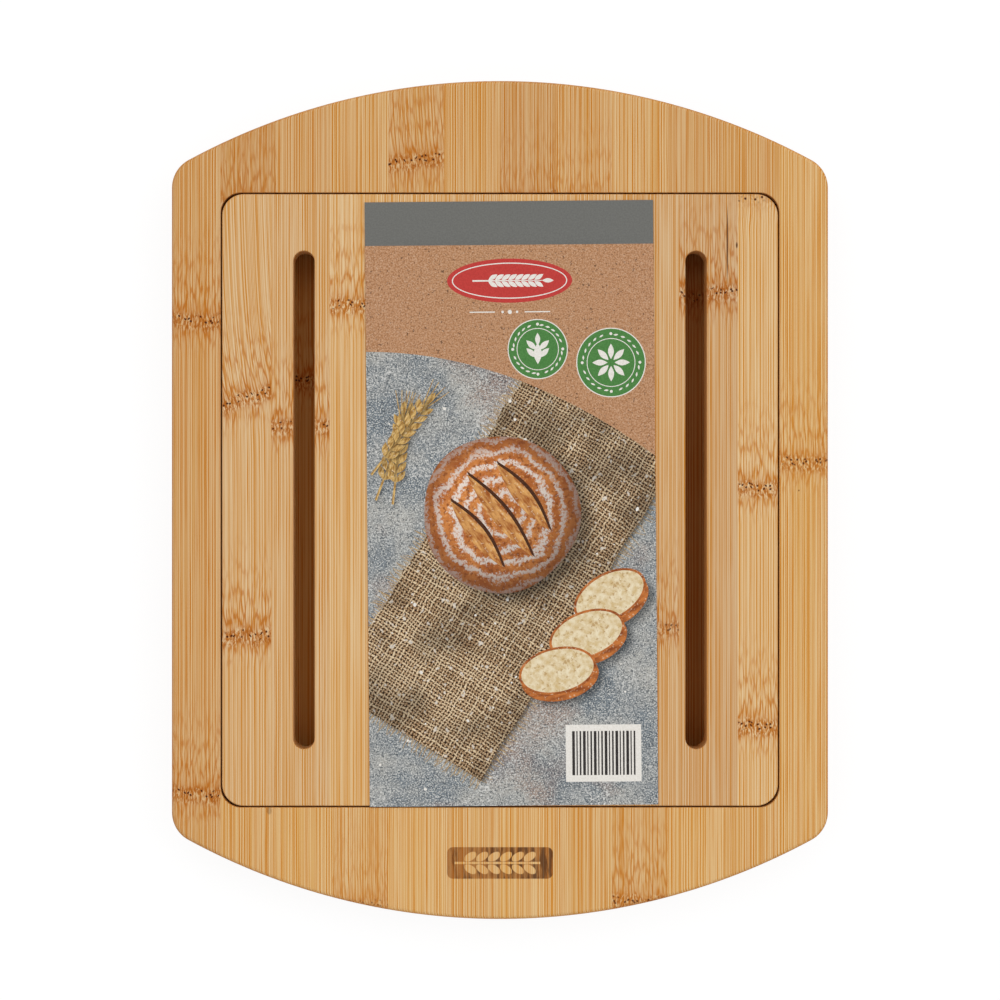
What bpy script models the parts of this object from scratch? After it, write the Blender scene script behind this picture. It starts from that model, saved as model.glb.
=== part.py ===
"""Two-piece bamboo bread board, in metres, with +Z up, +Y towards its head and its base at Z = 0.

The tray is glued up from three plies: a base of flat strips, a core of two rails and two end blocks, and a
face of flat strips. A stepped pocket is routed into it. The upper step takes the cutting insert flush with
the face, and the lower step is the pan that catches the crumbs. The insert is glued up from a backing ply
and a face ply of flat strips, and it has long slots with round ends. A thin card lies loose on it.
"""

import math

import bmesh
import bpy
from mathutils import Vector

# Tray outline: straight sides, a bowed head and foot, and rounded corners between them
BOARD_WIDTH = 0.310
BOARD_LENGTH = 0.396
END_ARC_RADIUS = 0.3087
CORNER_RADIUS = 0.015
EDGE_ROUNDING = 0.002

# Tray plies, from the underside up
BASE_PLY = 0.005
CORE_PLY = 0.0124
FACE_PLY = 0.006
GLUE_LINE = 0.0003

# Pocket for the insert, and the crumb pan inside its ledge
SIDE_RIM = 0.0232
END_RIM = 0.053
POCKET_CORNER_RADIUS = 0.008
POCKET_EASING = 0.0004
LEDGE_WIDTH = 0.008
PAN_DEPTH = 0.006
PAN_CORNER_RADIUS = 0.006

# Insert
INSERT_CLEARANCE = 0.0006
SEAT_GAP = 0.0003
INSERT_CORNER_RADIUS = 0.0108
INSERT_EASING = 0.0007
INSERT_FACE_PLY = 0.0062

# Slots through the insert
SLOT_COUNT = 5
SLOT_WIDTH = 0.010
SLOT_SIDE_MARGIN = 0.0387
SLOT_END_MARGIN = 0.0269
SLOT_EASING = 0.0004

# Card
CARD_WIDTH = 0.136
CARD_LENGTH = 0.285
CARD_THICKNESS = 0.0005
CARD_SHIFT_X = 0.0054
CARD_FOOT_MARGIN = 0.0003
CARD_TURN = math.radians(0.5)

# How many strips lie side by side at the head and foot of the tray's face, and in its base
END_STRIP_COUNT = 10
BASE_STRIP_COUNT = 11

# Joints of the insert's face strips, as shares of the slots' pitch from the leftmost slot's centre line
FACE_JOINT_SHARES = (-0.333, 0.262, 0.80, 1.45, 2.045, 2.64, 3.235, 3.827, 4.424)

# Facets of the curves, and the angle over which an edge is shaded sharp
END_ARC_STEPS = 24
CORNER_STEPS = 6
RIM_STEPS = 3
SHARP_ANGLE = math.radians(30)

# How far a cutter runs past the face that it opens
OVERRUN = 0.002

# Levels and sizes that follow from the values above
TRAY_HEIGHT = BASE_PLY + GLUE_LINE + CORE_PLY + GLUE_LINE + FACE_PLY
CORE_BOTTOM = BASE_PLY + GLUE_LINE
FACE_BOTTOM = CORE_BOTTOM + CORE_PLY + GLUE_LINE
LEDGE_LEVEL = BASE_PLY + PAN_DEPTH
POCKET_WIDTH = BOARD_WIDTH - 2 * SIDE_RIM
POCKET_LENGTH = BOARD_LENGTH - 2 * END_RIM
PAN_WIDTH = POCKET_WIDTH - 2 * LEDGE_WIDTH
PAN_LENGTH = POCKET_LENGTH - 2 * LEDGE_WIDTH
INSERT_WIDTH = POCKET_WIDTH - 2 * INSERT_CLEARANCE
INSERT_LENGTH = POCKET_LENGTH - 2 * INSERT_CLEARANCE
INSERT_BOTTOM = LEDGE_LEVEL + SEAT_GAP
INSERT_FACE_BOTTOM = TRAY_HEIGHT - INSERT_FACE_PLY
BACKING_TOP = INSERT_FACE_BOTTOM - GLUE_LINE
SLOT_LENGTH = INSERT_LENGTH - 2 * SLOT_END_MARGIN
OUTER_SLOT_X = INSERT_WIDTH / 2 - SLOT_SIDE_MARGIN
SLOT_PITCH = 2 * OUTER_SLOT_X / (SLOT_COUNT - 1)

# Finishes: linear base colours, and how much lighter or darker each strip is than its ply
TRAY_COLOUR = (0.597, 0.323, 0.120)
INSERT_COLOUR = (0.624, 0.359, 0.154)
CORE_COLOUR = (0.540, 0.286, 0.105)
CARD_COLOUR = (0.462, 0.251, 0.136)
BAMBOO_ROUGHNESS = 0.55
CARD_ROUGHNESS = 0.85
SIDE_TONE_SHARES = (0.97, 1.08)
HEAD_TONE_SHARES = (0.93, 0.97, 1.02, 0.99, 1.03, 0.96, 1.01, 1.04, 0.95, 1.00)
FOOT_TONE_SHARES = (0.98, 1.03, 0.99, 1.06, 1.02, 1.04, 1.01, 0.98, 1.03, 1.02)
INSERT_TONE_SHARES = (1.00, 0.95, 1.06, 1.01, 0.97, 1.03, 0.99, 0.98, 0.95, 1.10)
HIDDEN_TONE_SHARES = (1.00, 0.96, 1.03, 0.98, 1.02)


def clear_scene():
    """Removes every object that the scene starts with."""
    for obj in list(bpy.data.objects):
        bpy.data.objects.remove(obj, do_unlink=True)


def arc(centre_x, centre_y, radius, start, end, steps):
    """Points along an arc, both ends included."""
    points = []
    for step in range(steps + 1):
        angle = start + (end - start) * step / steps
        points.append((centre_x + radius * math.cos(angle), centre_y + radius * math.sin(angle)))
    return points


def turned_about(points):
    """The points followed by the same points turned half way round the origin."""
    return points + [(-x, -y) for x, y in points]


def board_outline(grow):
    """The tray's outline, grown outwards by a distance, counter-clockwise from the right side."""
    arc_centre_y = BOARD_LENGTH / 2 - END_ARC_RADIUS
    corner_x = BOARD_WIDTH / 2 - CORNER_RADIUS
    corner_y = arc_centre_y + math.sqrt((END_ARC_RADIUS - CORNER_RADIUS) ** 2 - corner_x**2)
    meeting = math.atan2(corner_y - arc_centre_y, corner_x)
    small, large = CORNER_RADIUS + grow, END_ARC_RADIUS + grow
    right = arc(corner_x, corner_y, small, 0, meeting, CORNER_STEPS)
    bow = arc(0, arc_centre_y, large, meeting, math.pi - meeting, END_ARC_STEPS)
    left = arc(-corner_x, corner_y, small, math.pi - meeting, math.pi, CORNER_STEPS)
    return turned_about(right + bow[1:-1] + left)


def rounded_rectangle(width, length, radius, grow, centre_x=0):
    """A rectangle with round corners, grown outwards by a distance, counter-clockwise."""
    corner_x, corner_y = width / 2 - radius, length / 2 - radius
    reach = radius + grow
    right = arc(corner_x, corner_y, reach, 0, math.pi / 2, CORNER_STEPS)
    left = arc(-corner_x, corner_y, reach, math.pi / 2, math.pi, CORNER_STEPS)
    if corner_x <= 0:
        left = left[1:]
    half = right + left
    return [(centre_x + x, y) for x, y in turned_about(half)]


def loft(name, rings):
    """A closed solid through rings of equally many points, each given as (points, level), from the bottom up."""
    build = bmesh.new()
    rows = [[build.verts.new((x, y, level)) for x, y in points] for points, level in rings]
    for lower, upper in zip(rows, rows[1:]):
        for index, corner in enumerate(lower):
            after = (index + 1) % len(lower)
            build.faces.new((corner, lower[after], upper[after], upper[index]))
    build.faces.new(list(reversed(rows[0])))
    build.faces.new(rows[-1])
    mesh = bpy.data.meshes.new(name)
    build.to_mesh(mesh)
    build.free()
    solid = bpy.data.objects.new(name, mesh)
    bpy.context.collection.objects.link(solid)
    return solid


def as_helper(solid):
    """Marks a solid as a guide or cutter that isn't part of the object."""
    solid.hide_render = True
    solid.display_type = "WIRE"
    return solid


def rounded_rim(radius):
    """A rounded rim as (inset, drop) pairs, from the flat face out to the side face."""
    steps = []
    for step in range(RIM_STEPS + 1):
        angle = math.pi / 2 * step / RIM_STEPS
        steps.append((radius * (1 - math.sin(angle)), radius * (1 - math.cos(angle))))
    return steps


def tray_blank():
    """The tray's full outer shape, rounded along its upper and lower edges."""
    rim = rounded_rim(EDGE_ROUNDING)
    rings = [(board_outline(-inset), drop) for inset, drop in rim]
    rings += [(board_outline(-inset), TRAY_HEIGHT - drop) for inset, drop in reversed(rim)]
    return as_helper(loft("tray_blank", rings))


def insert_blank():
    """The insert's full outer shape, eased along its upper and lower edges."""

    def ring(grow):
        return rounded_rectangle(INSERT_WIDTH, INSERT_LENGTH, INSERT_CORNER_RADIUS, grow)

    rings = [
        (ring(-INSERT_EASING), INSERT_BOTTOM),
        (ring(0), INSERT_BOTTOM + INSERT_EASING),
        (ring(0), TRAY_HEIGHT - INSERT_EASING),
        (ring(-INSERT_EASING), TRAY_HEIGHT),
    ]
    return as_helper(loft("insert_blank", rings))


def pocket_cutter():
    """What the router takes out for the insert, down to the ledge, with an eased mouth."""

    def ring(grow):
        return rounded_rectangle(POCKET_WIDTH, POCKET_LENGTH, POCKET_CORNER_RADIUS, grow)

    rings = [
        (ring(0), LEDGE_LEVEL),
        (ring(0), TRAY_HEIGHT - POCKET_EASING),
        (ring(POCKET_EASING + OVERRUN), TRAY_HEIGHT + OVERRUN),
    ]
    return as_helper(loft("pocket_cutter", rings))


def pan_cutter():
    """What the router takes out inside the ledge, down to the base ply."""
    ring = rounded_rectangle(PAN_WIDTH, PAN_LENGTH, PAN_CORNER_RADIUS, 0)
    return as_helper(loft("pan_cutter", [(ring, CORE_BOTTOM - OVERRUN), (ring, LEDGE_LEVEL + OVERRUN)]))


def slot_cutter(index):
    """One slot through both plies of the insert, eased at both mouths, with the X of its centre line."""
    centre_x = SLOT_PITCH * index - OUTER_SLOT_X

    def ring(grow):
        return rounded_rectangle(SLOT_WIDTH, SLOT_LENGTH, SLOT_WIDTH / 2, grow, centre_x)

    rings = [
        (ring(SLOT_EASING + OVERRUN), INSERT_BOTTOM - OVERRUN),
        (ring(0), INSERT_BOTTOM + SLOT_EASING),
        (ring(0), TRAY_HEIGHT - SLOT_EASING),
        (ring(SLOT_EASING + OVERRUN), TRAY_HEIGHT + OVERRUN),
    ]
    return centre_x, as_helper(loft(f"slot_cutter_{index + 1}", rings))


def finish(name, colour, share, roughness):
    """A plain finish whose colour is a share of its ply's colour."""
    material = bpy.data.materials.new(name)
    material.use_nodes = True
    shader = material.node_tree.nodes["Principled BSDF"]
    shader.inputs["Base Color"].default_value = (*(channel * share for channel in colour), 1)
    shader.inputs["Roughness"].default_value = roughness
    shader.inputs["Metallic"].default_value = 0
    return material


def bar(name, low, high, parent):
    """A plain bar between two opposite corners, placed by its middle."""
    low, high = Vector(low), Vector(high)
    build = bmesh.new()
    bmesh.ops.create_cube(build, size=1)
    bmesh.ops.scale(build, vec=high - low, verts=build.verts)
    mesh = bpy.data.meshes.new(name)
    build.to_mesh(mesh)
    build.free()
    solid = bpy.data.objects.new(name, mesh)
    bpy.context.collection.objects.link(solid)
    solid.parent = parent
    solid.location = (low + high) / 2 - parent.location
    return solid


def cut_to_shape(solid, blank, cutters):
    """Leaves of a bar what lies inside the blank and outside the cutters, and shades its curves smooth."""
    keep = solid.modifiers.new("outline", "BOOLEAN")
    keep.operation = "INTERSECT"
    keep.solver = "EXACT"
    keep.object = blank
    for cutter in cutters:
        cut = solid.modifiers.new(cutter.name, "BOOLEAN")
        cut.operation = "DIFFERENCE"
        cut.solver = "EXACT"
        cut.object = cutter
    bpy.context.view_layer.update()
    graph = bpy.context.evaluated_depsgraph_get()
    shaped = bpy.data.meshes.new_from_object(solid.evaluated_get(graph))
    solid.modifiers.clear()
    solid.data = shaped
    shaped.name = solid.name
    shaped.shade_smooth()
    shaped.set_sharp_from_angle(angle=SHARP_ANGLE)


def strip(name, low, high, parent, blank, cutters, colour, share):
    """One glued strip of bamboo, shaped with the board that it belongs to."""
    solid = bar(name, low, high, parent)
    cut_to_shape(solid, blank, cutters)
    solid.data.materials.append(finish(name, colour, share, BAMBOO_ROUGHNESS))
    return solid


def spans(joints):
    """The stretches between neighbouring joints, each short of its joints by half a glue line."""
    half = GLUE_LINE / 2
    return [(left + half, right - half) for left, right in zip(joints, joints[1:])]


def even_joints(width, count):
    """Joints of equally wide strips that fill a width centred on the origin."""
    return [width * index / count - width / 2 for index in range(count + 1)]


def opened(joints):
    """The joints with the outermost two moved past the board's sides, where the outline trims the strips."""
    return [joints[0] - OVERRUN] + joints[1:-1] + [joints[-1] + OVERRUN]


def empty(name, location):
    """A point that pieces hang from."""
    point = bpy.data.objects.new(name, None)
    point.location = location
    bpy.context.collection.objects.link(point)
    return point


def make_tray_face(tray, blank, pocket):
    """The ply with the visible face: two full-length side strips, and short strips at the head and foot."""
    far, bottom, top = BOARD_LENGTH / 2 + OVERRUN, FACE_BOTTOM, TRAY_HEIGHT + OVERRUN
    outside, inside = BOARD_WIDTH / 2 + OVERRUN, POCKET_WIDTH / 2
    sides = (("left", spans([-outside, -inside])[0]), ("right", spans([inside, outside])[0]))
    for (side, (start, end)), share in zip(sides, SIDE_TONE_SHARES):
        low, high = (start, -far, bottom), (end, far, top)
        strip(f"tray_side_strip_{side}", low, high, tray, blank, [pocket], TRAY_COLOUR, share)
    for index, (start, end) in enumerate(spans(even_joints(POCKET_WIDTH, END_STRIP_COUNT))):
        share = HEAD_TONE_SHARES[index % len(HEAD_TONE_SHARES)]
        low, high = (start, 0, bottom), (end, far, top)
        strip(f"tray_head_strip_{index + 1:02d}", low, high, tray, blank, [pocket], TRAY_COLOUR, share)
        share = FOOT_TONE_SHARES[index % len(FOOT_TONE_SHARES)]
        low, high = (start, -far, bottom), (end, 0, top)
        strip(f"tray_foot_strip_{index + 1:02d}", low, high, tray, blank, [pocket], TRAY_COLOUR, share)


def make_tray_core(tray, blank, pocket, pan):
    """The thick middle ply with the ledge: a rail down each side and a block at the head and foot."""
    far, bottom, top = BOARD_LENGTH / 2 + OVERRUN, CORE_BOTTOM, CORE_BOTTOM + CORE_PLY
    outside, inside = BOARD_WIDTH / 2 + OVERRUN, PAN_WIDTH / 2
    left, right = spans([-outside, -inside])[0], spans([inside, outside])[0]
    middle = spans([-inside, inside])[0]
    pieces = (
        ("tray_core_rail_left", left, -far, far),
        ("tray_core_rail_right", right, -far, far),
        ("tray_core_block_head", middle, 0, far),
        ("tray_core_block_foot", middle, -far, 0),
    )
    for name, (start, end), low_y, high_y in pieces:
        low, high = (start, low_y, bottom), (end, high_y, top)
        strip(name, low, high, tray, blank, [pocket, pan], CORE_COLOUR, 1)


def make_tray_base(tray, blank):
    """The ply that the tray stands on, whose upper face is the floor of the crumb pan."""
    far = BOARD_LENGTH / 2 + OVERRUN
    joints = opened(even_joints(BOARD_WIDTH, BASE_STRIP_COUNT))
    for index, (start, end) in enumerate(spans(joints)):
        share = HIDDEN_TONE_SHARES[index % len(HIDDEN_TONE_SHARES)]
        low, high = (start, -far, -OVERRUN), (end, far, BASE_PLY)
        strip(f"tray_base_strip_{index + 1:02d}", low, high, tray, blank, [], TRAY_COLOUR, share)


def make_insert_ply(prefix, joints, levels, insert, blank, slots, shares):
    """One ply of the insert, each strip cut by the slots that reach it."""
    far = INSERT_LENGTH / 2 + OVERRUN
    reach = SLOT_WIDTH / 2 + SLOT_EASING
    for index, (start, end) in enumerate(spans(opened(joints))):
        met = [cutter for centre, cutter in slots if start < centre + reach and centre - reach < end]
        low, high = (start, -far, levels[0]), (end, far, levels[1])
        share = shares[index % len(shares)]
        strip(f"{prefix}_{index + 1:02d}", low, high, insert, blank, met, INSERT_COLOUR, share)


def joints_beside_slots(shares):
    """Joints across the insert, its sides included, placed by the slots that they run beside."""
    inner = [SLOT_PITCH * share - OUTER_SLOT_X for share in shares]
    return [-INSERT_WIDTH / 2] + inner + [INSERT_WIDTH / 2]


def make_insert(insert):
    """The slotted cutting insert, two plies of strips glued back to back."""
    blank = insert_blank()
    slots = [slot_cutter(index) for index in range(SLOT_COUNT)]
    face_levels = (INSERT_FACE_BOTTOM, TRAY_HEIGHT + OVERRUN)
    backing_levels = (INSERT_BOTTOM - OVERRUN, BACKING_TOP)
    face_joints = joints_beside_slots(FACE_JOINT_SHARES)
    backing_joints = joints_beside_slots([step / 2 - 1 / 4 for step in range(2 * SLOT_COUNT)])
    make_insert_ply(
        "insert_face_strip", face_joints, face_levels, insert, blank, slots, INSERT_TONE_SHARES
    )
    make_insert_ply(
        "insert_backing_strip", backing_joints, backing_levels, insert, blank, slots, HIDDEN_TONE_SHARES
    )


def make_card(insert):
    """The card that lies loose on the insert, turned a little."""
    middle_y = CARD_FOOT_MARGIN + CARD_LENGTH / 2 - INSERT_LENGTH / 2
    middle = Vector((CARD_SHIFT_X, middle_y, TRAY_HEIGHT + SEAT_GAP + CARD_THICKNESS / 2))
    half = Vector((CARD_WIDTH, CARD_LENGTH, CARD_THICKNESS)) / 2
    card = bar("card", middle - half, middle + half, insert)
    card.rotation_euler.z = CARD_TURN
    card.data.materials.append(finish("card", CARD_COLOUR, 1, CARD_ROUGHNESS))


def main():
    """Builds the tray, the insert in its pocket and the card on top."""
    clear_scene()
    tray = empty("tray", (0, 0, 0))
    insert = empty("insert", (0, 0, INSERT_BOTTOM))
    blank, pocket, pan = tray_blank(), pocket_cutter(), pan_cutter()
    make_tray_base(tray, blank)
    make_tray_core(tray, blank, pocket, pan)
    make_tray_face(tray, blank, pocket)
    make_insert(insert)
    make_card(insert)


main()
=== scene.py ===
"""Dresses the bread board: a glued bamboo tray, the slotted insert in its pocket and the printed card on top.

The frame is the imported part's own, in metres: +Z up, +Y along the grain towards the head. Sizes that the part's
source gives are repeated here as fields. Patterns and the card's print are laid out in millimetres.
"""

from __future__ import annotations

import logging
import math
from collections.abc import Sequence
from dataclasses import dataclass, field
from enum import Enum
from functools import partial
from typing import TypeAlias

import bmesh
import bpy
import numpy as np
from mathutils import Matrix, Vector
from mathutils.geometry import delaunay_2d_cdt


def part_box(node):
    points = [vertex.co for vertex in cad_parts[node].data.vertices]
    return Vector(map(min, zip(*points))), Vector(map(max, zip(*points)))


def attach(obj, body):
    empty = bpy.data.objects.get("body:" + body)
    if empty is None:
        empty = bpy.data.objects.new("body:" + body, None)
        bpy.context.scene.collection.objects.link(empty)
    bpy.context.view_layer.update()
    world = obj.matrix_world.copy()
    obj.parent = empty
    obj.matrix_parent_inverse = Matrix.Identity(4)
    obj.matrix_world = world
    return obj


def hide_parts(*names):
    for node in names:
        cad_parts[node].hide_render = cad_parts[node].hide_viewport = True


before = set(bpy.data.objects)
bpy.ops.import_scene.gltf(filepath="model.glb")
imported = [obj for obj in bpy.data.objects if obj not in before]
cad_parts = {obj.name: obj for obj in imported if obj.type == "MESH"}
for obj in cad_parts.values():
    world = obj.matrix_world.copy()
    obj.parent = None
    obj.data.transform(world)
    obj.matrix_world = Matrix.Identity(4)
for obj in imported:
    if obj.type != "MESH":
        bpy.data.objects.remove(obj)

LOG = logging.getLogger("bread_board")
MM = 0.001
# How far a guide or an uncut strip reaches past the face that it is cut at.
PAST = 0.002
# Edges that turn by more than this stay sharp.
CREASE = math.radians(40)
WHITE = (1.0, 1.0, 1.0, 1.0)

Point: TypeAlias = tuple[float, float]
Outline: TypeAlias = list[Point]
Ring: TypeAlias = tuple[Outline, float]
Feed: TypeAlias = "bpy.types.Node | bpy.types.NodeSocket | float | tuple"


class Body(Enum):
    """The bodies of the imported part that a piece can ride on."""

    TRAY = "tray"
    INSERT = "insert"
    CARD = "card"


class Stock(Enum):
    """Names of the material slots."""

    TRAY = "tray_bamboo"
    CORE = "core_bamboo"
    INSERT = "insert_bamboo"
    CARD = "card_board"


# ---- small helpers


def linear(code: str) -> tuple[float, float, float, float]:
    """Turns an sRGB hex colour into a linear one.

    Args:
        code: six hex digits after a hash sign.

    Returns:
        Linear red, green, blue and an alpha of one.
    """
    shares = [int(code[start : start + 2], 16) / 255 for start in (1, 3, 5)]
    curve = [s / 12.92 if s <= 0.04045 else ((s + 0.055) / 1.055) ** 2.4 for s in shares]
    return (curve[0], curve[1], curve[2], 1.0)


def add(tree: bpy.types.NodeTree, kind: str, inputs: dict | None = None, **settings: object) -> bpy.types.Node:
    """Adds a node to a tree with its settings and its links.

    Args:
        tree: the tree that gets the node.
        kind: the node's type, without "ShaderNode" where it starts with that.
        inputs: by socket name or place, a plain value, a socket, a node whose first live output is
            taken, or a list of these for a socket that takes many.
        settings: the node's own properties.

    Returns:
        The new node.
    """
    node = tree.nodes.new(kind if "Node" in kind else f"ShaderNode{kind}")
    for name, value in settings.items():
        setattr(node, name, value)
    for key, given in (inputs or {}).items():
        live = [s for s in node.inputs if s.enabled and s.name == key]
        socket = node.inputs[key] if isinstance(key, int) else live[0]
        for value in given if isinstance(given, list) else [given]:
            if isinstance(value, bpy.types.Node):
                value = next(s for s in value.outputs if s.enabled)
            if isinstance(value, bpy.types.NodeSocket):
                tree.links.new(value, socket)
            else:
                socket.default_value = value
    return node


class Coat:
    """A material's node tree, and the colour that its layers have built up so far.

    Attributes:
        material: the material.
        add: adds a node to its tree.
        colour: the colour so far.
    """

    def __init__(self, name: str) -> None:
        """Starts an empty material of a name."""
        self.material = bpy.data.materials.new(name)
        self.material.use_nodes = True
        self.material.node_tree.nodes.clear()
        self.add = partial(add, self.material.node_tree)
        self.colour: Feed = linear("#000000")

    def split(self, vector: Feed | str) -> Sequence[bpy.types.NodeSocket]:
        """Parts a vector, or an attribute's name, into its three numbers."""
        if isinstance(vector, str):
            vector = self.add("Attribute", attribute_name=vector).outputs["Vector"]
        return self.add("SeparateXYZ", {0: vector}).outputs

    def mask(
        self, value: Feed, start: float, full: float, amount: float = 1.0, *, least: float = 0.0,
        held: Sequence[Feed] = (),
    ) -> Feed:
        """How strongly a mark shows: more and more as a value goes from one level to another.

        Args:
            value: what decides where it shows.
            start: the level where it starts.
            full: the level where it shows in full.
            amount: how strong it is there.
            least: how strong it is before that.
            held: shares that hold it back.

        Returns:
            The mask.
        """
        shown: Feed = self.add("MapRange", {
            "Value": value, "From Min": start, "From Max": full, "To Min": least, "To Max": amount,
        }, interpolation_type="SMOOTHSTEP")
        for share in held:
            shown = self.add("Math", {0: shown, 1: share}, operation="MULTIPLY")
        return shown

    def stain(self, other: str | Feed, mask: Feed, blend: str = "MIX") -> None:
        """Stains the colour with another one, as far as a mask shows.

        Args:
            other: the other colour, or its hex code.
            mask: how far it shows.
            blend: how the two blend.
        """
        other = linear(other) if isinstance(other, str) else other
        inputs = {"Factor": mask, "A": self.colour, "B": other}
        self.colour = self.add("Mix", inputs, data_type="RGBA", blend_type=blend)

    def shade(self, share: Feed) -> None:
        """Scales the colour's brightness."""
        self.colour = self.add("VectorMath", {0: self.colour, "Scale": share}, operation="SCALE")

    def varnish(self, roughness: Feed, height: Feed, strength: float, relief: float, level: float) -> None:
        """Gives the colour its gloss and its relief, and ends the material.

        Args:
            roughness: how matt it is.
            height: the relief's height.
            strength: how much of the relief shows.
            relief: how tall it is, in metres.
            level: the shader's specular level.
        """
        bump = self.add("Bump", {"Height": height, "Strength": strength, "Distance": relief})
        shader = self.add("BsdfPrincipled", {
            "Base Color": self.colour, "Roughness": roughness, "Normal": bump, "IOR": 1.45, "Specular IOR Level": level,
        })
        self.add("OutputMaterial", {"Surface": shader})


def new_object(name: str, data: bpy.types.ID) -> bpy.types.Object:
    """Links a new object that holds a mesh, a lamp or a lens, and returns it."""
    made = bpy.data.objects.new(name, data)
    bpy.context.scene.collection.objects.link(made)
    return made


def new_mesh(name: str, build: bmesh.types.BMesh) -> bpy.types.Mesh:
    """Ends a build as a new mesh and returns it."""
    mesh = bpy.data.meshes.new(name)
    build.to_mesh(mesh)
    build.free()
    return mesh


def new_guide(name: str, build: bmesh.types.BMesh) -> bpy.types.Object:
    """Ends a build as a guide, an object that cuts others and isn't shown itself."""
    guide = new_object(name, new_mesh(name, build))
    guide.hide_render = True
    return guide


def arc(centre: Point, radius: float, start: float, end: float, steps: int) -> Outline:
    """Points along an arc, both ends included.

    Args:
        centre: the arc's centre.
        radius: its radius.
        start: the angle that it starts at, in radians.
        end: the angle that it ends at.
        steps: how many chords it has.

    Returns:
        The points in order.
    """
    angles = [start + (end - start) * step / steps for step in range(steps + 1)]
    return [(centre[0] + radius * math.cos(a), centre[1] + radius * math.sin(a)) for a in angles]


def rounded_rectangle(width: float, length: float, radius: float, centre_x: float, steps: int) -> Outline:
    """A rectangle with round corners, counter-clockwise.

    Args:
        width: its extent along X.
        length: its extent along Y.
        radius: the corners' radius.
        centre_x: where its middle lies along X.
        steps: chords in each corner.

    Returns:
        The outline.
    """
    x, y = width / 2 - radius, length / 2 - radius
    quarter = math.pi / 2
    points = arc((x, y), radius, 0, quarter, steps) + arc((-x, y), radius, quarter, 2 * quarter, steps)
    if x < 1e-9:
        points.pop(steps + 1)
    points += [(-px, -py) for px, py in points]
    return [(centre_x + px, py) for px, py in points]


def rounding(radius: float, steps: int) -> list[Point]:
    """A quarter-round edge as (inset, drop) pairs, from the flat face out to the wall."""
    turns = [math.pi / 2 * step / steps for step in range(steps + 1)]
    return [(radius * (1 - math.sin(t)), radius * (1 - math.cos(t))) for t in turns]


def loft(name: str, rings: Sequence[Ring]) -> bpy.types.Object:
    """A closed guide solid through rings of equally many points.

    Args:
        name: the solid's name.
        rings: outlines with their levels, from the bottom up.

    Returns:
        The solid, which isn't shown.
    """
    build = bmesh.new()
    rows = [[build.verts.new((x, y, level)) for x, y in points] for points, level in rings]
    for lower, upper in zip(rows, rows[1:]):
        for index, corner in enumerate(lower):
            after = (index + 1) % len(lower)
            build.faces.new((corner, lower[after], upper[after], upper[index]))
    build.faces.new(list(reversed(rows[0])))
    build.faces.new(rows[-1])
    return new_guide(name, build)


def clean_shading(mesh: bpy.types.Mesh) -> None:
    """Merges doubles, turns faces outward, and smooths only within walls and within rounded edges.

    Args:
        mesh: a closed solid, changed in place.
    """
    build = bmesh.new()
    build.from_mesh(mesh)
    bmesh.ops.remove_doubles(build, verts=build.verts, dist=1e-7)
    bmesh.ops.recalc_face_normals(build, faces=build.faces)
    for face in build.faces:
        face.smooth = True
        face.normal_update()
    for edge in build.edges:
        rises = [abs(face.normal.z) for face in edge.link_faces]
        kinds = {0 if rise < 0.01 else 2 if rise > 0.999 else 1 for rise in rises}
        edge.smooth = kinds in ({0}, {1}) and edge.calc_face_angle(math.pi) < CREASE
    build.to_mesh(mesh)
    build.free()


def settle(piece: bpy.types.Object, body: Body, nodes: Sequence[str], stock: Stock) -> None:
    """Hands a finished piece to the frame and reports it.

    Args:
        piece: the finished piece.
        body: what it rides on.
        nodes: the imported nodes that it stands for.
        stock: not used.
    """
    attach(piece, body.value)
    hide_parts(*nodes)
    LOG.info("%s rides on %s, %d faces", piece.name, body.value, len(piece.data.polygons))


# ---- bamboo


@dataclass(frozen=True)
class Knuckle:
    """A knuckle of the cane that crosses a strip.

    Attributes:
        along: its place along Y, in millimetres.
        slope: how far it climbs for each millimetre to the right.
        strength: how plainly it shows, 0 to 1.
    """

    along: float
    slope: float = 0.0
    strength: float = 1.0


@dataclass(frozen=True)
class Strip:
    """One glued strip of bamboo.

    Attributes:
        node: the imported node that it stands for.
        low: its lowest corner before it is cut to shape, in metres.
        high: its highest corner.
        tone: how much lighter or darker it is than its board.
        seed: what its grain starts from.
        knuckles: the cane's knuckles that cross it, at most three.
    """

    node: str
    low: tuple[float, float, float]
    high: tuple[float, float, float]
    tone: float
    seed: float
    knuckles: tuple[Knuckle, ...] = ()


@dataclass(frozen=True)
class Hairline:
    """A fine check or speck in the bamboo's face, in millimetres.

    Attributes:
        x: its place across the board.
        y: its middle along the board.
        half_width: half of its width.
        half_length: half of its length.
        depth: how dark it is, 0 to 1.
    """

    x: float
    y: float
    half_width: float
    half_length: float
    depth: float


@dataclass(frozen=True)
class BurntBadge:
    """A badge burnt into the face: a long field with an ear of grain left bare in it.

    Attributes:
        middle: its centre on the board, in millimetres.
        half: half of its length and height.
        corner: the radius of its corners.
        kernel_step: the spacing of the ear's grains.
        kernel_side: how far a grain's middle lies beside the stalk.
        kernel_half: half of a grain's length and width.
        lean: how far the grains lean outwards, in radians.
        stalk: the stalk's middle along the badge, and half of its length.
    """

    middle: Point
    half: Point = (25.0, 7.5)
    corner: float = 2.8
    kernel_step: float = 5.6
    kernel_side: float = 2.95
    kernel_half: Point = (3.5, 1.95)
    lean: float = math.radians(32)
    stalk: Point = (-1.2, 20.2)


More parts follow.
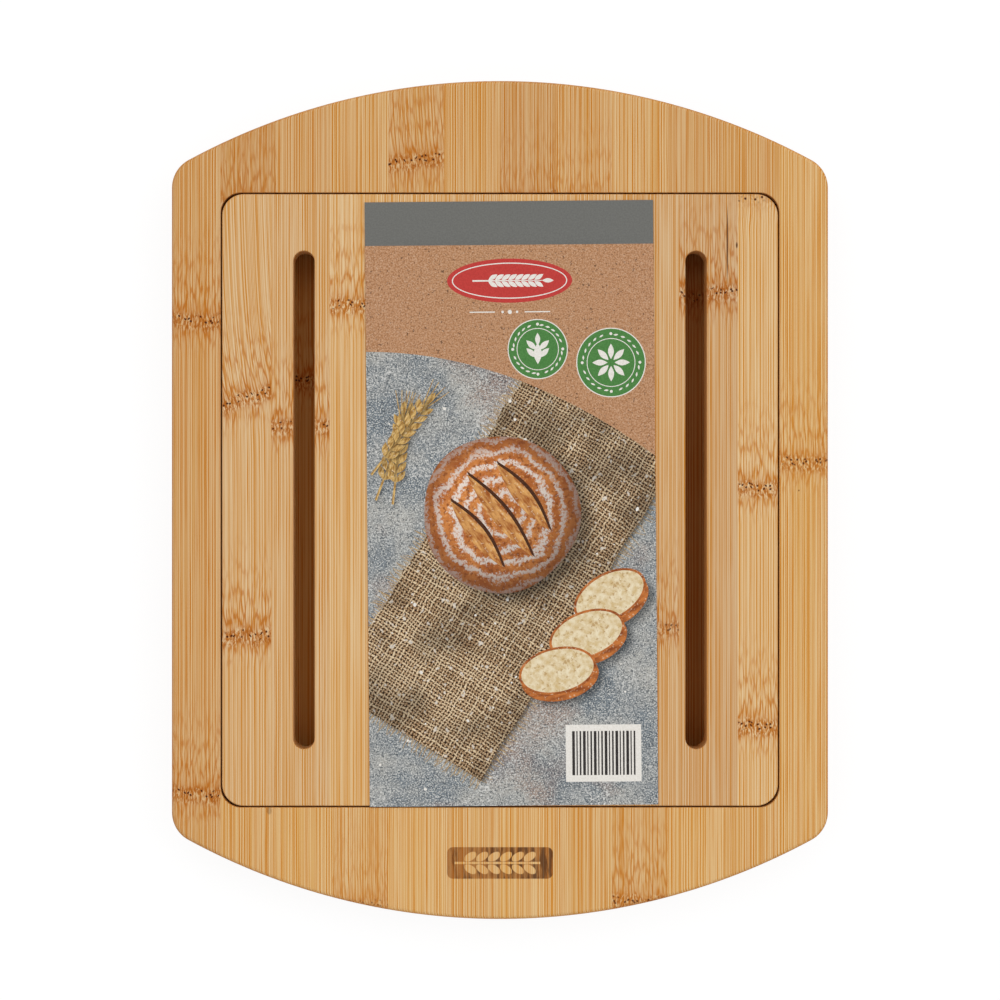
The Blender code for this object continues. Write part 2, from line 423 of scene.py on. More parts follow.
@dataclass(frozen=True)
class SandedBamboo:
    """Pressed bamboo: split cane planed into strips, glued edge to edge, sanded and oiled.

    To the eye that is a warm straw ground with darker fibre bundles that run dead straight along each strip,
    flame-like spindles where the fibres part at a knuckle, and a rough brown band with dark pores across it.
    Cut ends show the bundles as dots. Oil leaves a soft satin.

    Attributes:
        name: the finish's name.
        pale: the softwood-like ground between the bundles.
        straw: the ground's darker drifts.
        bundle: the fibre bundles.
        flame: the spindles beside a knuckle.
        collar: the knuckle's band.
        pore: its dark pores.
        rubbed: edges and cut ends, where oil soaks in.
        stave: width of the staves glued on edge, in millimetres, or zero for flat strips.
        painted_shade_level: level of the crumb pan's floor, in millimetres, whose colour is darkened there as painted
            shade, or zero.
        shine: the shader's specular level, lower where the oil has soaked away.
        hairlines: checks and specks.
        badge: a burnt badge, or none.
    """

    name: str
    pale: str = "#E3C69B"
    straw: str = "#D8A96D"
    bundle: str = "#CC872B"
    flame: str = "#BC7020"
    collar: str = "#AC6118"
    pore: str = "#481800"
    rubbed: str = "#B06C22"
    stave: float = 0.0
    painted_shade_level: float = 0.0
    shine: float = 0.15
    hairlines: tuple[Hairline, ...] = ()
    badge: BurntBadge | None = None

    def material(self) -> bpy.types.Material:
        """Builds the material, which reads Object coordinates and the strips' own attributes."""
        return BambooCoat(self).material


class BambooCoat(Coat):
    """The layers of a bamboo finish, from the straw ground to the satin.

    Attributes:
        finish: its colours and marks.
        spot: a point's coordinates, in millimetres.
        normal: the way that its face looks.
        middle: the middle of its strip across the board, in millimetres.
        tone: how much lighter or darker that strip is.
        seed: what its grain starts from.
        gap: signed distance along the grain to the nearest knuckle.
        strength: how plainly that knuckle shows.
        flow: the coordinates, bent as the fibres bend.
    """

    # The third coordinate is sheared into the first this far, so that walls show what the face shows.
    SHEAR = 0.8

    def __init__(self, finish: SandedBamboo) -> None:
        """Lays every layer of a finish."""
        super().__init__(finish.name)
        self.finish = finish
        coords = self.add("TexCoord").outputs
        place = self.add("VectorMath", {0: coords["Object"], "Scale": 1 / MM}, operation="SCALE")
        self.spot = self.split(place)
        self.normal = self.split(coords["Normal"])
        self.middle, self.tone, self.seed = self.split("cane")
        self.flow = self._bend(self._find_knuckle())
        bundles = self._bundles()
        flames = self._flames()
        pits = self._collar()
        if finish.stave:
            self._staves()
        self._rub()
        # The crumb pan's floor gets painted shade.
        if finish.painted_shade_level:
            self._paint_pan_shade()
        self._tint()
        for line in finish.hairlines:
            self._hairline(line)
        if finish.badge:
            self._burn(finish.badge)
        gloss = self.add("MapRange", {"Value": bundles, "To Min": 0.5, "To Max": 0.62})
        hills = self.add("Math", {0: bundles, 1: flames}, operation="MAXIMUM")
        height = self.add("Math", {0: pits, 1: -4.0, 2: hills}, operation="MULTIPLY_ADD")
        # Raised grain stands about 0.03 mm proud of the sanded face.
        self.varnish(gloss, height, 0.3, 0.03 * MM, finish.shine)

    def _find_knuckle(self) -> Feed:
        """Finds the knuckle nearest to a point.

        Returns:
            How far the fibres swing aside there, in millimetres.
        """
        add, spot = self.add, self.spot
        across = add("Math", {0: spot["X"], 1: self.middle}, operation="SUBTRACT")
        seat = add("CombineXYZ", {"X": spot["X"], "Z": spot["Z"]})
        # The band wanders by a millimetre or two over about 8 mm.
        wander = add("TexNoise", {
            "Vector": seat, "W": self.seed, "Scale": 0.13, "Detail": 2.0, "Roughness": 0.6,
        }, noise_dimensions="4D")
        shift = add("MapRange", {"Value": wander, "From Min": 0.2, "From Max": 0.8, "To Min": -2.3, "To Max": 2.3})
        level = add("Math", {0: spot["Y"], 1: shift}, operation="ADD")
        best: tuple[Feed, ...] = ()
        swing: Feed = 0.0
        for number in (1, 2, 3):
            along, slope, strength = self.split(f"knuckle_{number}")
            climb = add("Math", {0: across, 1: slope, 2: along}, operation="MULTIPLY_ADD")
            gap = add("Math", {0: level, 1: climb}, operation="SUBTRACT")
            near = add("Math", {0: gap}, operation="ABSOLUTE")
            # The fibres stay aside for long above a knuckle, and fall back into line soon below it.
            below = add("Math", {0: gap, 1: -7.0}, operation="MULTIPLY")
            fall = add("Math", {0: gap, 1: below}, operation="MAXIMUM")
            reach = add("Math", {0: fall, 1: 1 / 40, 2: 1.0}, operation="MULTIPLY_ADD")
            lean = add("Math", {0: gap, 1: reach}, operation="DIVIDE")
            swing = add("Math", {0: lean, 1: slope, 2: swing}, operation="MULTIPLY_ADD")
            found = (near, gap, strength)
            if best:
                closer = add("Math", {0: near, 1: best[0]}, operation="LESS_THAN")
                pairs = zip(best, found)
                found = tuple(add("Mix", {"Factor": closer, "A": a, "B": b}, data_type="FLOAT") for a, b in pairs)
            best = found
        _, self.gap, self.strength = best
        return swing

    def _bend(self, swing: Feed) -> Feed:
        """Bends the coordinates as the fibres bend: square to a sloping knuckle, and wavy beside it.

        Args:
            swing: how far the fibres swing aside.

        Returns:
            The bent coordinates as a vector.
        """
        add, spot = self.add, self.spot
        away = add("Math", {0: self.gap}, operation="ABSOLUTE")
        calm = self.mask(away, 1.0, 24.0, 0.3, least=2.2)
        whole = add("CombineXYZ", {axis: spot[axis] for axis in "XYZ"})
        slack = add("VectorMath", {0: whole, 1: (0.16, 0.06, 0.16)}, operation="MULTIPLY")
        wave = add("TexNoise", {"Vector": slack, "W": self.seed, "Scale": 1.0, "Detail": 1.0}, noise_dimensions="4D")
        centred = add("Math", {0: wave, 1: 0.5}, operation="SUBTRACT")
        sway = add("Math", {0: centred, 1: calm, 2: swing}, operation="MULTIPLY_ADD")
        across = add("Math", {0: spot["X"], 1: sway}, operation="ADD")
        bent = add("CombineXYZ", {"X": across, "Y": spot["Y"], "Z": spot["Z"]})
        return add("VectorMath", {0: self.seed, 1: (13.7, 37.3, 5.9), 2: bent}, operation="MULTIPLY_ADD")

    def _drawn(self, where: Feed, width: float, length: float, detail: float) -> Feed:
        """Noise drawn out along the grain.

        Args:
            where: the coordinates.
            width: about how wide a streak is, in millimetres.
            length: about how long it is.
            detail: how many finer layers it carries.

        Returns:
            The noise, about one half on average.
        """
        drawn = self.add("VectorMath", {0: where, 1: (1 / width, 1 / length, 1 / width)}, operation="MULTIPLY")
        return self.add("TexNoise", {"Vector": drawn, "Scale": 1.0, "Detail": detail, "Roughness": 0.6})

    def _across(self, width: float) -> bpy.types.NodeSocket:
        """How many widths a point lies across the grain, on the face and on the walls."""
        ways = (1 / width, 0.0, self.SHEAR / width)
        return self.add("VectorMath", {0: self.flow, 1: ways}, operation="DOT_PRODUCT").outputs["Value"]

    def _bundles(self) -> Feed:
        """Lays the fibre bundles over the straw ground.

        Returns:
            The bundles' mask.
        """
        add, finish, flow = self.add, self.finish, self.flow
        self.colour = linear(finish.pale)
        self.stain(finish.straw, self.mask(self._drawn(flow, 7.0, 150.0, 1.0), 0.3, 0.7, 0.9, least=0.2))
        self.stain(finish.bundle, self.mask(self._drawn(flow, 1.2, 150.0, 3.0), 0.47, 0.57, 0.42))
        # Bundles are 0.3 to 0.8 mm across in the cane and run the whole length of a strip. They are drawn at
        # about 0.6 mm so that they show, as lines along the strip and as dots on its cut ends.
        along = add("TexNoise", {
            "W": self._across(0.62), "Scale": 1.0, "Detail": 1.0, "Roughness": 0.6,
        }, noise_dimensions="1D")
        facing = add("Math", {0: self.normal["Y"]}, operation="ABSOLUTE")
        end = add("Math", {0: facing, 1: 0.7}, operation="GREATER_THAN")
        dots = self._drawn(flow, 0.4, 60.0, 0.5)
        thin = add("Mix", {"Factor": end, "A": along, "B": dots}, data_type="FLOAT")
        lines = self.mask(thin, 0.494, 0.56)
        # They come in clusters, some firm and some faint.
        clusters = self._drawn(flow, 2.0, 50.0, 1.5)
        firm = add("MapRange", {"Value": clusters, "From Min": 0.38, "From Max": 0.62, "To Min": 1.1, "To Max": 0.4})
        self.stain(finish.bundle, add("Math", {0: lines, 1: firm}, operation="MULTIPLY"))
        self.stain(finish.pale, self.mask(thin, 0.475, 0.4, 0.9))
        return lines

    def _flames(self) -> Feed:
        """Draws the spindles where the fibres part, long above a knuckle and short below it.

        Returns:
            The spindles' mask.
        """
        add = self.add
        above = add("MapRange", {"Value": self.gap, "From Min": 48.0, "From Max": 4.0})
        zone = self.mask(self.gap, -20.0, -2.0, held=[above, self.strength])
        # Long cells with pointed ends lie side by side, 1.5 mm wide and 12 mm long.
        along = add("VectorMath", {0: self.flow, 1: (0.0, 1 / 12, 0.0)}, operation="DOT_PRODUCT").outputs["Value"]
        place = add("CombineXYZ", {"X": self._across(1.5), "Y": along})
        inner = add("TexVoronoi", {
            "Vector": place, "Scale": 1.0, "Randomness": 0.95,
        }, feature="DISTANCE_TO_EDGE", voronoi_dimensions="2D").outputs["Distance"]
        # Not every spindle is ringed: single needles start and stop.
        broken = self.mask(self._drawn(self.flow, 1.3, 9.0, 1.0), 0.4, 0.54, least=0.2)
        rims = self.mask(inner, 0.2, 0.04, held=[broken, zone])
        self.stain(self.finish.pale, self.mask(inner, 0.18, 0.4, 0.7, held=[zone]))
        self.stain(self.finish.flame, add("Math", {0: rims, 1: 0.95}, operation="MULTIPLY"))
        return rims

    def _collar(self) -> Feed:
        """Draws the knuckle's rough band and the pores in it.

        Returns:
            The pores' mask.
        """
        add, finish = self.add, self.finish
        near = add("Math", {0: self.gap}, operation="ABSOLUTE")
        self.stain(finish.flame, self.mask(near, 11.0, 1.0, 0.38, held=[self.strength]))
        # The band lies a little below the knuckle's middle.
        below = add("Math", {0: self.gap, 1: 0.9}, operation="ADD")
        band = self.mask(add("Math", {0: below}, operation="ABSOLUTE"), 5.6, 2.2, held=[self.strength])
        # Where the bundles cross, they show as short ragged knots, about 1 mm by 2 mm.
        knots = self._drawn(self.flow, 0.75, 2.5, 3.0)
        self.stain(finish.pale, self.mask(knots, 0.455, 0.39, 0.9, held=[band]))
        self.stain(finish.collar, self.mask(knots, 0.475, 0.58, 0.92, held=[band]))
        # Pores are 0.5 to 0.8 mm across and about 3 mm apart.
        seat = add("CombineXYZ", {"X": self._across(1.0), "Y": self.gap})
        cells = add("TexVoronoi", {"Vector": seat, "Scale": 0.36, "Randomness": 1.0}, voronoi_dimensions="2D")
        hole = self.mask(cells.outputs["Distance"], 0.24, 0.13)
        pits = self.mask(near, 2.3, 1.5, 0.95, held=[hole, self.strength])
        self.stain(finish.pore, pits)
        return pits

    def _staves(self) -> None:
        """Parts the ply into staves on edge, each a little lighter or darker, with a fine glue line between."""
        add = self.add
        row = add("Math", {0: self.spot["X"], 1: self.finish.stave}, operation="DIVIDE")
        number = add("Math", {0: row}, operation="FLOOR")
        tone = add("TexWhiteNoise", {"W": number}, noise_dimensions="1D").outputs["Value"]
        self.shade(add("MapRange", {"Value": tone, "To Min": 0.82, "To Max": 1.08}))
        seam = add("Math", {0: add("Math", {0: row, 1: 1.0}, operation="PINGPONG")}, operation="ABSOLUTE")
        line = add("MapRange", {"Value": seam, "From Min": 0.05, "From Max": 0.0, "To Max": 0.5})
        self.stain(self.finish.collar, line)

    def _rub(self) -> None:
        """Warms the eased edges and the walls, where sanding opens the pores and the oil soaks in."""
        rise = self.add("Math", {0: self.normal["Z"]}, operation="ABSOLUTE")
        worn = self.add("MapRange", {"Value": rise, "From Min": 0.99, "From Max": 0.6, "To Max": 0.55})
        self.stain(self.finish.rubbed, worn)

    def _paint_pan_shade(self) -> None:
        """Darkens the crumb pan's floor as painted shade, for the shade that falls on it deep under the insert's slots.
        """
        # Painted shade: the colour at the pan floor's level is multiplied darker and redder.
        level = self.add("Math", {0: self.spot["Z"], 1: self.finish.painted_shade_level, 2: 0.05}, operation="COMPARE")
        self.stain("#E7C7A0", level, "MULTIPLY")

    def _tint(self) -> None:
        """Gives the strip its tone. A dark strip is redder, so it counts half as much again in green and blue."""
        half = self.add("Math", {0: self.tone, 1: 0.5, 2: 0.5}, operation="MULTIPLY_ADD")
        more = self.add("Math", {0: self.tone, 1: half}, operation="MULTIPLY")
        cast = self.add("CombineXYZ", {"X": self.tone, "Y": more, "Z": more})
        self.colour = self.add("VectorMath", {0: self.colour, 1: cast}, operation="MULTIPLY")

    def _hairline(self, line: Hairline) -> None:
        """Draws one check or speck.

        Args:
            line: the check.
        """
        halves = {}
        for axis, centre, half in (("X", line.x, line.half_width), ("Y", line.y, line.half_length)):
            offset = self.add("Math", {0: self.spot[axis], 1: centre}, operation="SUBTRACT")
            halves[axis] = self.add("Math", {0: offset, 1: half}, operation="DIVIDE")
        reach = self.add("VectorMath", {0: self.add("CombineXYZ", halves)}, operation="LENGTH")
        self.stain(self.finish.pore, self.mask(reach, 1.0, 0.5, line.depth))

    def _burn(self, badge: BurntBadge) -> None:
        """Burns the badge into the face, all but the ear of grain.

        Args:
            badge: the badge.
        """
        add, spot = self.add, self.spot
        x = add("Math", {0: spot["X"], 1: badge.middle[0]}, operation="SUBTRACT")
        y = add("Math", {0: spot["Y"], 1: badge.middle[1]}, operation="SUBTRACT")
        run, side = (add("Math", {0: way}, operation="ABSOLUTE") for way in (x, y))
        inner = (badge.half[0] - badge.corner, badge.half[1] - badge.corner, 0.0)
        past = add("VectorMath", {0: add("CombineXYZ", {"X": run, "Y": side}), 1: inner}, operation="SUBTRACT")
        past = add("VectorMath", {0: past, 1: (0.0, 0.0, 0.0)}, operation="MAXIMUM")
        reach = add("VectorMath", {0: past}, operation="LENGTH")
        # The ear's grains repeat along it in mirrored pairs, leaning outwards.
        step, lean = badge.kernel_step, badge.lean
        ahead = add("Math", {0: x, 1: 100 * step}, operation="ADD")
        u = add("Math", {0: add("Math", {0: ahead, 1: step}, operation="MODULO"), 1: step / 2}, operation="SUBTRACT")
        v = add("Math", {0: side, 1: badge.kernel_side}, operation="SUBTRACT")
        halves = {}
        for axis, half, from_u, from_v in (
            ("X", badge.kernel_half[0], math.cos(lean), math.sin(lean)),
            ("Y", badge.kernel_half[1], -math.sin(lean), math.cos(lean)),
        ):
            part = add("Math", {0: u, 1: from_u}, operation="MULTIPLY")
            turned = add("Math", {0: v, 1: from_v, 2: part}, operation="MULTIPLY_ADD")
            halves[axis] = add("Math", {0: turned, 1: half}, operation="DIVIDE")
        kernel = add("VectorMath", {0: add("CombineXYZ", halves)}, operation="LENGTH")
        grains = add("MapRange", {"Value": kernel, "From Min": 1.0, "From Max": 0.85})
        stalk = add("MapRange", {"Value": side, "From Min": 0.65, "From Max": 0.4})
        parts = []
        for part, middle, half in ((grains, 0.0, 3 * step), (stalk, *badge.stalk)):
            extent = add("Math", {0: x, 1: middle, 2: half}, operation="COMPARE")
            parts.append(add("Math", {0: part, 1: extent}, operation="MULTIPLY"))
        ear = add("Math", {0: parts[0], 1: parts[1]}, operation="MAXIMUM")
        bare = add("Math", {0: 1.0, 1: ear}, operation="SUBTRACT")
        burnt = self.mask(reach, badge.corner + 0.2, badge.corner - 0.3, held=[bare])
        # The iron bites harder on some fibres and towards one end.
        fibres = self._drawn(add("CombineXYZ", {"X": spot["X"], "Y": spot["Y"]}), 2.2, 16.0, 3.0)
        bite = add("Math", {0: x, 1: 0.0025, 2: fibres}, operation="MULTIPLY_ADD")
        tint = add("Mix", {
            "Factor": self.mask(bite, 0.42, 0.64), "A": linear("#CBB29A"), "B": linear("#7A6862"),
        }, data_type="RGBA")
        self.stain(tint, burnt, "MULTIPLY")


class StripTree:
    """The Geometry Nodes tree that cuts one glued strip to its board's outline and routes its hollows."""

    VECTORS = ("Cane", "Knuckle 1", "Knuckle 2", "Knuckle 3")
    NOWHERE = Knuckle(along=5000.0, strength=0.0)

    def __init__(self) -> None:
        """Builds the tree and notes its inputs' identifiers."""
        self.tree = bpy.data.node_groups.new("glued strip", "GeometryNodeTree")
        kinds = {"Low": "Vector", "High": "Vector", "Outline": "Object", "Router": "Object", "Finish": "Material"}
        for name, kind in {**kinds, **dict.fromkeys(self.VECTORS, "Vector")}.items():
            self.tree.interface.new_socket(name, in_out="INPUT", socket_type=f"NodeSocket{kind}")
        self.tree.interface.new_socket("Strip", in_out="OUTPUT", socket_type="NodeSocketGeometry")
        self.sockets = {item.name: item.identifier for item in self.tree.interface.items_tree}
        self._wire()

    def _wire(self) -> None:
        """Adds the tree's nodes."""
        put = partial(add, self.tree)
        given = put("NodeGroupInput").outputs
        size = put("VectorMath", {0: given["High"], 1: given["Low"]}, operation="SUBTRACT")
        both = put("VectorMath", {0: given["High"], 1: given["Low"]}, operation="ADD")
        middle = put("VectorMath", {0: both, "Scale": 0.5}, operation="SCALE")
        block = put("GeometryNodeMeshCube", {"Size": size})
        placed = put("GeometryNodeTransform", {"Geometry": block, "Translation": middle})
        outline = put("GeometryNodeObjectInfo", {"Object": given["Outline"]}).outputs["Geometry"]
        router = put("GeometryNodeObjectInfo", {"Object": given["Router"]}).outputs["Geometry"]
        kept = put("GeometryNodeMeshBoolean", {"Mesh": [placed, outline]}, operation="INTERSECT", solver="EXACT")
        inputs = {"Mesh 1": kept, "Mesh 2": router}
        shape = put("GeometryNodeMeshBoolean", inputs, operation="DIFFERENCE", solver="EXACT")
        for name in self.VECTORS:
            label = name.lower().replace(" ", "_")
            shape = put("GeometryNodeStoreNamedAttribute", {
                "Geometry": shape, "Name": label, "Value": given[name],
            }, data_type="FLOAT_VECTOR", domain="FACE")
        real = put("GeometryNodeRealizeInstances", {"Geometry": shape})
        faced = put("GeometryNodeSetMaterial", {"Geometry": real, "Material": given["Finish"]})
        put("NodeGroupOutput", {0: faced})

    def cut(
        self, strip: Strip, outline: bpy.types.Object, router: bpy.types.Object | None, finish: bpy.types.Material,
    ) -> bpy.types.Object:
        """Makes one strip as a plain mesh object.

        Args:
            strip: the strip.
            outline: the board's full outer shape.
            router: what is routed out of the board, or none.
            finish: its material.

        Returns:
            The finished piece, at the origin with its place in its mesh.
        """
        piece = new_object(f"{strip.node}_bamboo", bpy.data.meshes.new(strip.node))
        modifier = piece.modifiers.new("glued strip", "NODES")
        modifier.node_group = self.tree
        marks = list(strip.knuckles) + [self.NOWHERE] * (3 - len(strip.knuckles))
        centre = (strip.low[0] + strip.high[0]) / 2 / MM
        values: dict[str, object] = {
            "Low": strip.low, "High": strip.high, "Outline": outline, "Router": router, "Finish": finish,
            "Cane": (centre, strip.tone, strip.seed),
        }
        for index, mark in enumerate(marks):
            values[f"Knuckle {index + 1}"] = (mark.along, mark.slope, mark.strength)
        for name, value in values.items():
            modifier[self.sockets[name]] = value
        graph = bpy.context.evaluated_depsgraph_get()
        cut = piece.evaluated_get(graph)
        shaped = bpy.data.meshes.new_from_object(cut, preserve_all_data_layers=True, depsgraph=graph)
        piece.modifiers.clear()
        piece.data = shaped
        clean_shading(shaped)
        return piece


# ---- the board


@dataclass(frozen=True)
class TrayShape:
    """The tray's outline and what is routed out of it, in metres.

    Attributes:
        width: across the grain.
        length: along the grain, head to foot.
        height: over all three plies.
        end_radius: radius of the bowed head and foot.
        corner_radius: radius of the four corners.
        rounding: radius of the edges' rounding.
        base_top: level of the crumb pan's floor.
        ledge: level of the ledge that the insert rests on.
        side_rim: face left beside the pocket.
        end_rim: face left beyond the pocket.
        pocket_radius: radius of the pocket's corners.
        easing: rounding of the pocket's mouth.
        ledge_width: width of the ledge.
        pan_radius: radius of the pan's corners.
    """

    width: float = 0.310
    length: float = 0.396
    height: float = 0.024
    end_radius: float = 0.3087
    corner_radius: float = 0.015
    rounding: float = 0.002
    base_top: float = 0.005
    ledge: float = 0.011
    side_rim: float = 0.0232
    end_rim: float = 0.053
    pocket_radius: float = 0.0096
    easing: float = 0.0004
    ledge_width: float = 0.008
    pan_radius: float = 0.006

    @property
    def pocket(self) -> Point:
        """The pocket's width and length."""
        return self.width - 2 * self.side_rim, self.length - 2 * self.end_rim

    def outline(self, inset: float) -> Outline:
        """The tray's outline, moved inwards by a distance, counter-clockwise.

        Args:
            inset: the distance.

        Returns:
            The outline.
        """
        centre_y = self.length / 2 - self.end_radius
        corner_x = self.width / 2 - self.corner_radius
        corner_y = centre_y + math.sqrt((self.end_radius - self.corner_radius) ** 2 - corner_x**2)
        meeting = math.atan2(corner_y - centre_y, corner_x)
        small, large = self.corner_radius - inset, self.end_radius - inset
        right = arc((corner_x, corner_y), small, 0, meeting, 18)
        bow = arc((0, centre_y), large, meeting, math.pi - meeting, 65)
        left = arc((-corner_x, corner_y), small, math.pi - meeting, math.pi, 18)
        half = right + bow[1:-1] + left
        return half + [(-x, -y) for x, y in half]

    def blank(self) -> bpy.types.Object:
        """The tray's full outer shape, rounded along its upper and lower edges."""
        rim = rounding(self.rounding, 6)
        rings = [(self.outline(inset), drop) for inset, drop in rim]
        rings += [(self.outline(inset), self.height - drop) for inset, drop in reversed(rim)]
        return loft("tray_blank", rings)

    def router(self) -> bpy.types.Object:
        """What is routed out: the crumb pan, and above its ledge the pocket with an eased mouth."""
        width, length = self.pocket
        step = 2 * self.ledge_width
        pan = rounded_rectangle(width - step, length - step, self.pan_radius, 0, 10)

        def mouth(grow: float) -> Outline:
            """The pocket's outline, grown outwards."""
            return rounded_rectangle(width + 2 * grow, length + 2 * grow, self.pocket_radius + grow, 0, 10)

        rings = [(pan, self.base_top - PAST), (pan, self.ledge), (mouth(0), self.ledge)]
        rings += [(mouth(grow), self.height - drop) for grow, drop in reversed(rounding(self.easing, 3))]
        rings += [(mouth(self.easing), self.height + PAST)]
        return loft("tray_router", rings)


@dataclass(frozen=True)
class InsertShape:
    """The insert's outline and its slots, in metres.

    Attributes:
        width: across the grain.
        length: along the grain.
        bottom: level of its underside.
        top: level of its face.
        corner_radius: radius of its corners.
        easing: rounding of its edges.
        slot_count: how many slots it has.
        slot_width: a slot's width.
        slot_length: a slot's length.
        slot_reach: from the middle to the outermost slot's centre line.
        slot_easing: rounding of the slots' mouths.
    """

    width: float = 0.2624
    length: float = 0.2888
    bottom: float = 0.0113
    top: float = 0.024
    corner_radius: float = 0.0103
    easing: float = 0.0007
    slot_count: int = 5
    slot_width: float = 0.010
    slot_length: float = 0.235
    slot_reach: float = 0.0925
    slot_easing: float = 0.0004

    @property
    def pitch(self) -> float:
        """The slots' spacing."""
        return 2 * self.slot_reach / (self.slot_count - 1)

    def blank(self) -> bpy.types.Object:
        """The insert's full outer shape, eased along its upper and lower edges."""

        def ring(inset: float) -> Outline:
            """The insert's outline, moved inwards."""
            width, length = self.width - 2 * inset, self.length - 2 * inset
            return rounded_rectangle(width, length, self.corner_radius - inset, 0, 14)

        rim = rounding(self.easing, 4)
        rings = [(ring(inset), self.bottom + drop) for inset, drop in rim]
        rings += [(ring(inset), self.top - drop) for inset, drop in reversed(rim)]
        return loft("insert_blank", rings)

    def router(self) -> bpy.types.Object:
        """All slots as one guide, each with eased mouths on both faces."""
        rim = rounding(self.slot_easing, 3)
        guides = []
        for index in range(self.slot_count):
            centre = self.pitch * index - self.slot_reach

            def ring(grow: float, centre_x: float = centre) -> Outline:
                """One slot's outline, grown outwards."""
                wide, long = self.slot_width + 2 * grow, self.slot_length + 2 * grow
                return rounded_rectangle(wide, long, wide / 2, centre_x, 12)

            rings = [(ring(self.slot_easing), self.bottom - PAST)]
            rings += [(ring(grow), self.bottom + drop) for grow, drop in rim]
            rings += [(ring(grow), self.top - drop) for grow, drop in reversed(rim)]
            rings += [(ring(self.slot_easing), self.top + PAST)]
            guides.append(loft(f"slot_{index + 1}", rings))
        build = bmesh.new()
        for guide in guides:
            build.from_mesh(guide.data)
            bpy.data.objects.remove(guide)
        return new_guide("insert_router", build)


def even(width: float, count: int) -> list[float]:
    """Joints of equally wide strips that fill a width centred on the origin."""
    return [width * index / count - width / 2 for index in range(count + 1)]


@dataclass(frozen=True)
class Ply:
    """What the strips of one glued layer share.

    Attributes:
        finish: how they look.
        stock: the name of a material slot.
        routed: whether the board's hollows are routed into them.
    """

    finish: SandedBamboo
    stock: Stock
    routed: bool = True


@dataclass(frozen=True)
class Row:
    """Strips that lie side by side in one ply.

    Attributes:
        name: the strips' name, to which each adds its number.
        joints: the joints between them, from left to right.
        span: where they start and end along the grain.
        levels: their underside and their face.
        tones: each strip's tone.
        seed: what their grain starts from.
        seed_step: how far that goes on from strip to strip.
        marks: the knuckles, by the strip's number.
    """

    name: str
    joints: Sequence[float]
    span: Point
    levels: Point
    tones: Sequence[float]
    seed: float
    seed_step: float
    marks: dict[int, tuple[Knuckle, ...]]

    def strips(self) -> list[Strip]:
        """The strips from left to right, not yet cut to shape."""
        (foot, head), (under, face) = self.span, self.levels
        return [
            Strip(
                f"{self.name}_{number:02d}", (left, foot, under), (right, head, face), self.tones[number - 1],
                self.seed + self.seed_step * number, self.marks.get(number, ()),
            )
            for number, (left, right) in enumerate(zip(self.joints, self.joints[1:]), 1)
        ]


@dataclass
class Board:
    """A board that is glued up from strips, then cut to its outline and routed.

    Attributes:
        shop: the tree that cuts strips.
        body: what its strips ride on.
        shape: its outline and hollows.
    """

    shop: StripTree
    body: Body
    shape: TrayShape | InsertShape

    def plies(self) -> dict[str, Ply]:
        """The board's plies, by how their strips' names start."""
        raise NotImplementedError

    def strips(self) -> list[Strip]:
        """The board's strips, not yet cut to shape."""
        raise NotImplementedError

    def build(self) -> None:
        """Cuts every strip and hands it to the frame."""
        plies = self.plies()
        finishes = {start: ply.finish.material() for start, ply in plies.items()}
        blank, router = self.shape.blank(), self.shape.router()
        for strip in self.strips():
            start = next(start for start in plies if strip.node.startswith(start))
            ply = plies[start]
            piece = self.shop.cut(strip, blank, router if ply.routed else None, finishes[start])
            settle(piece, self.body, [strip.node], ply.stock)
        for guide in (blank, router):
            bpy.data.objects.remove(guide)


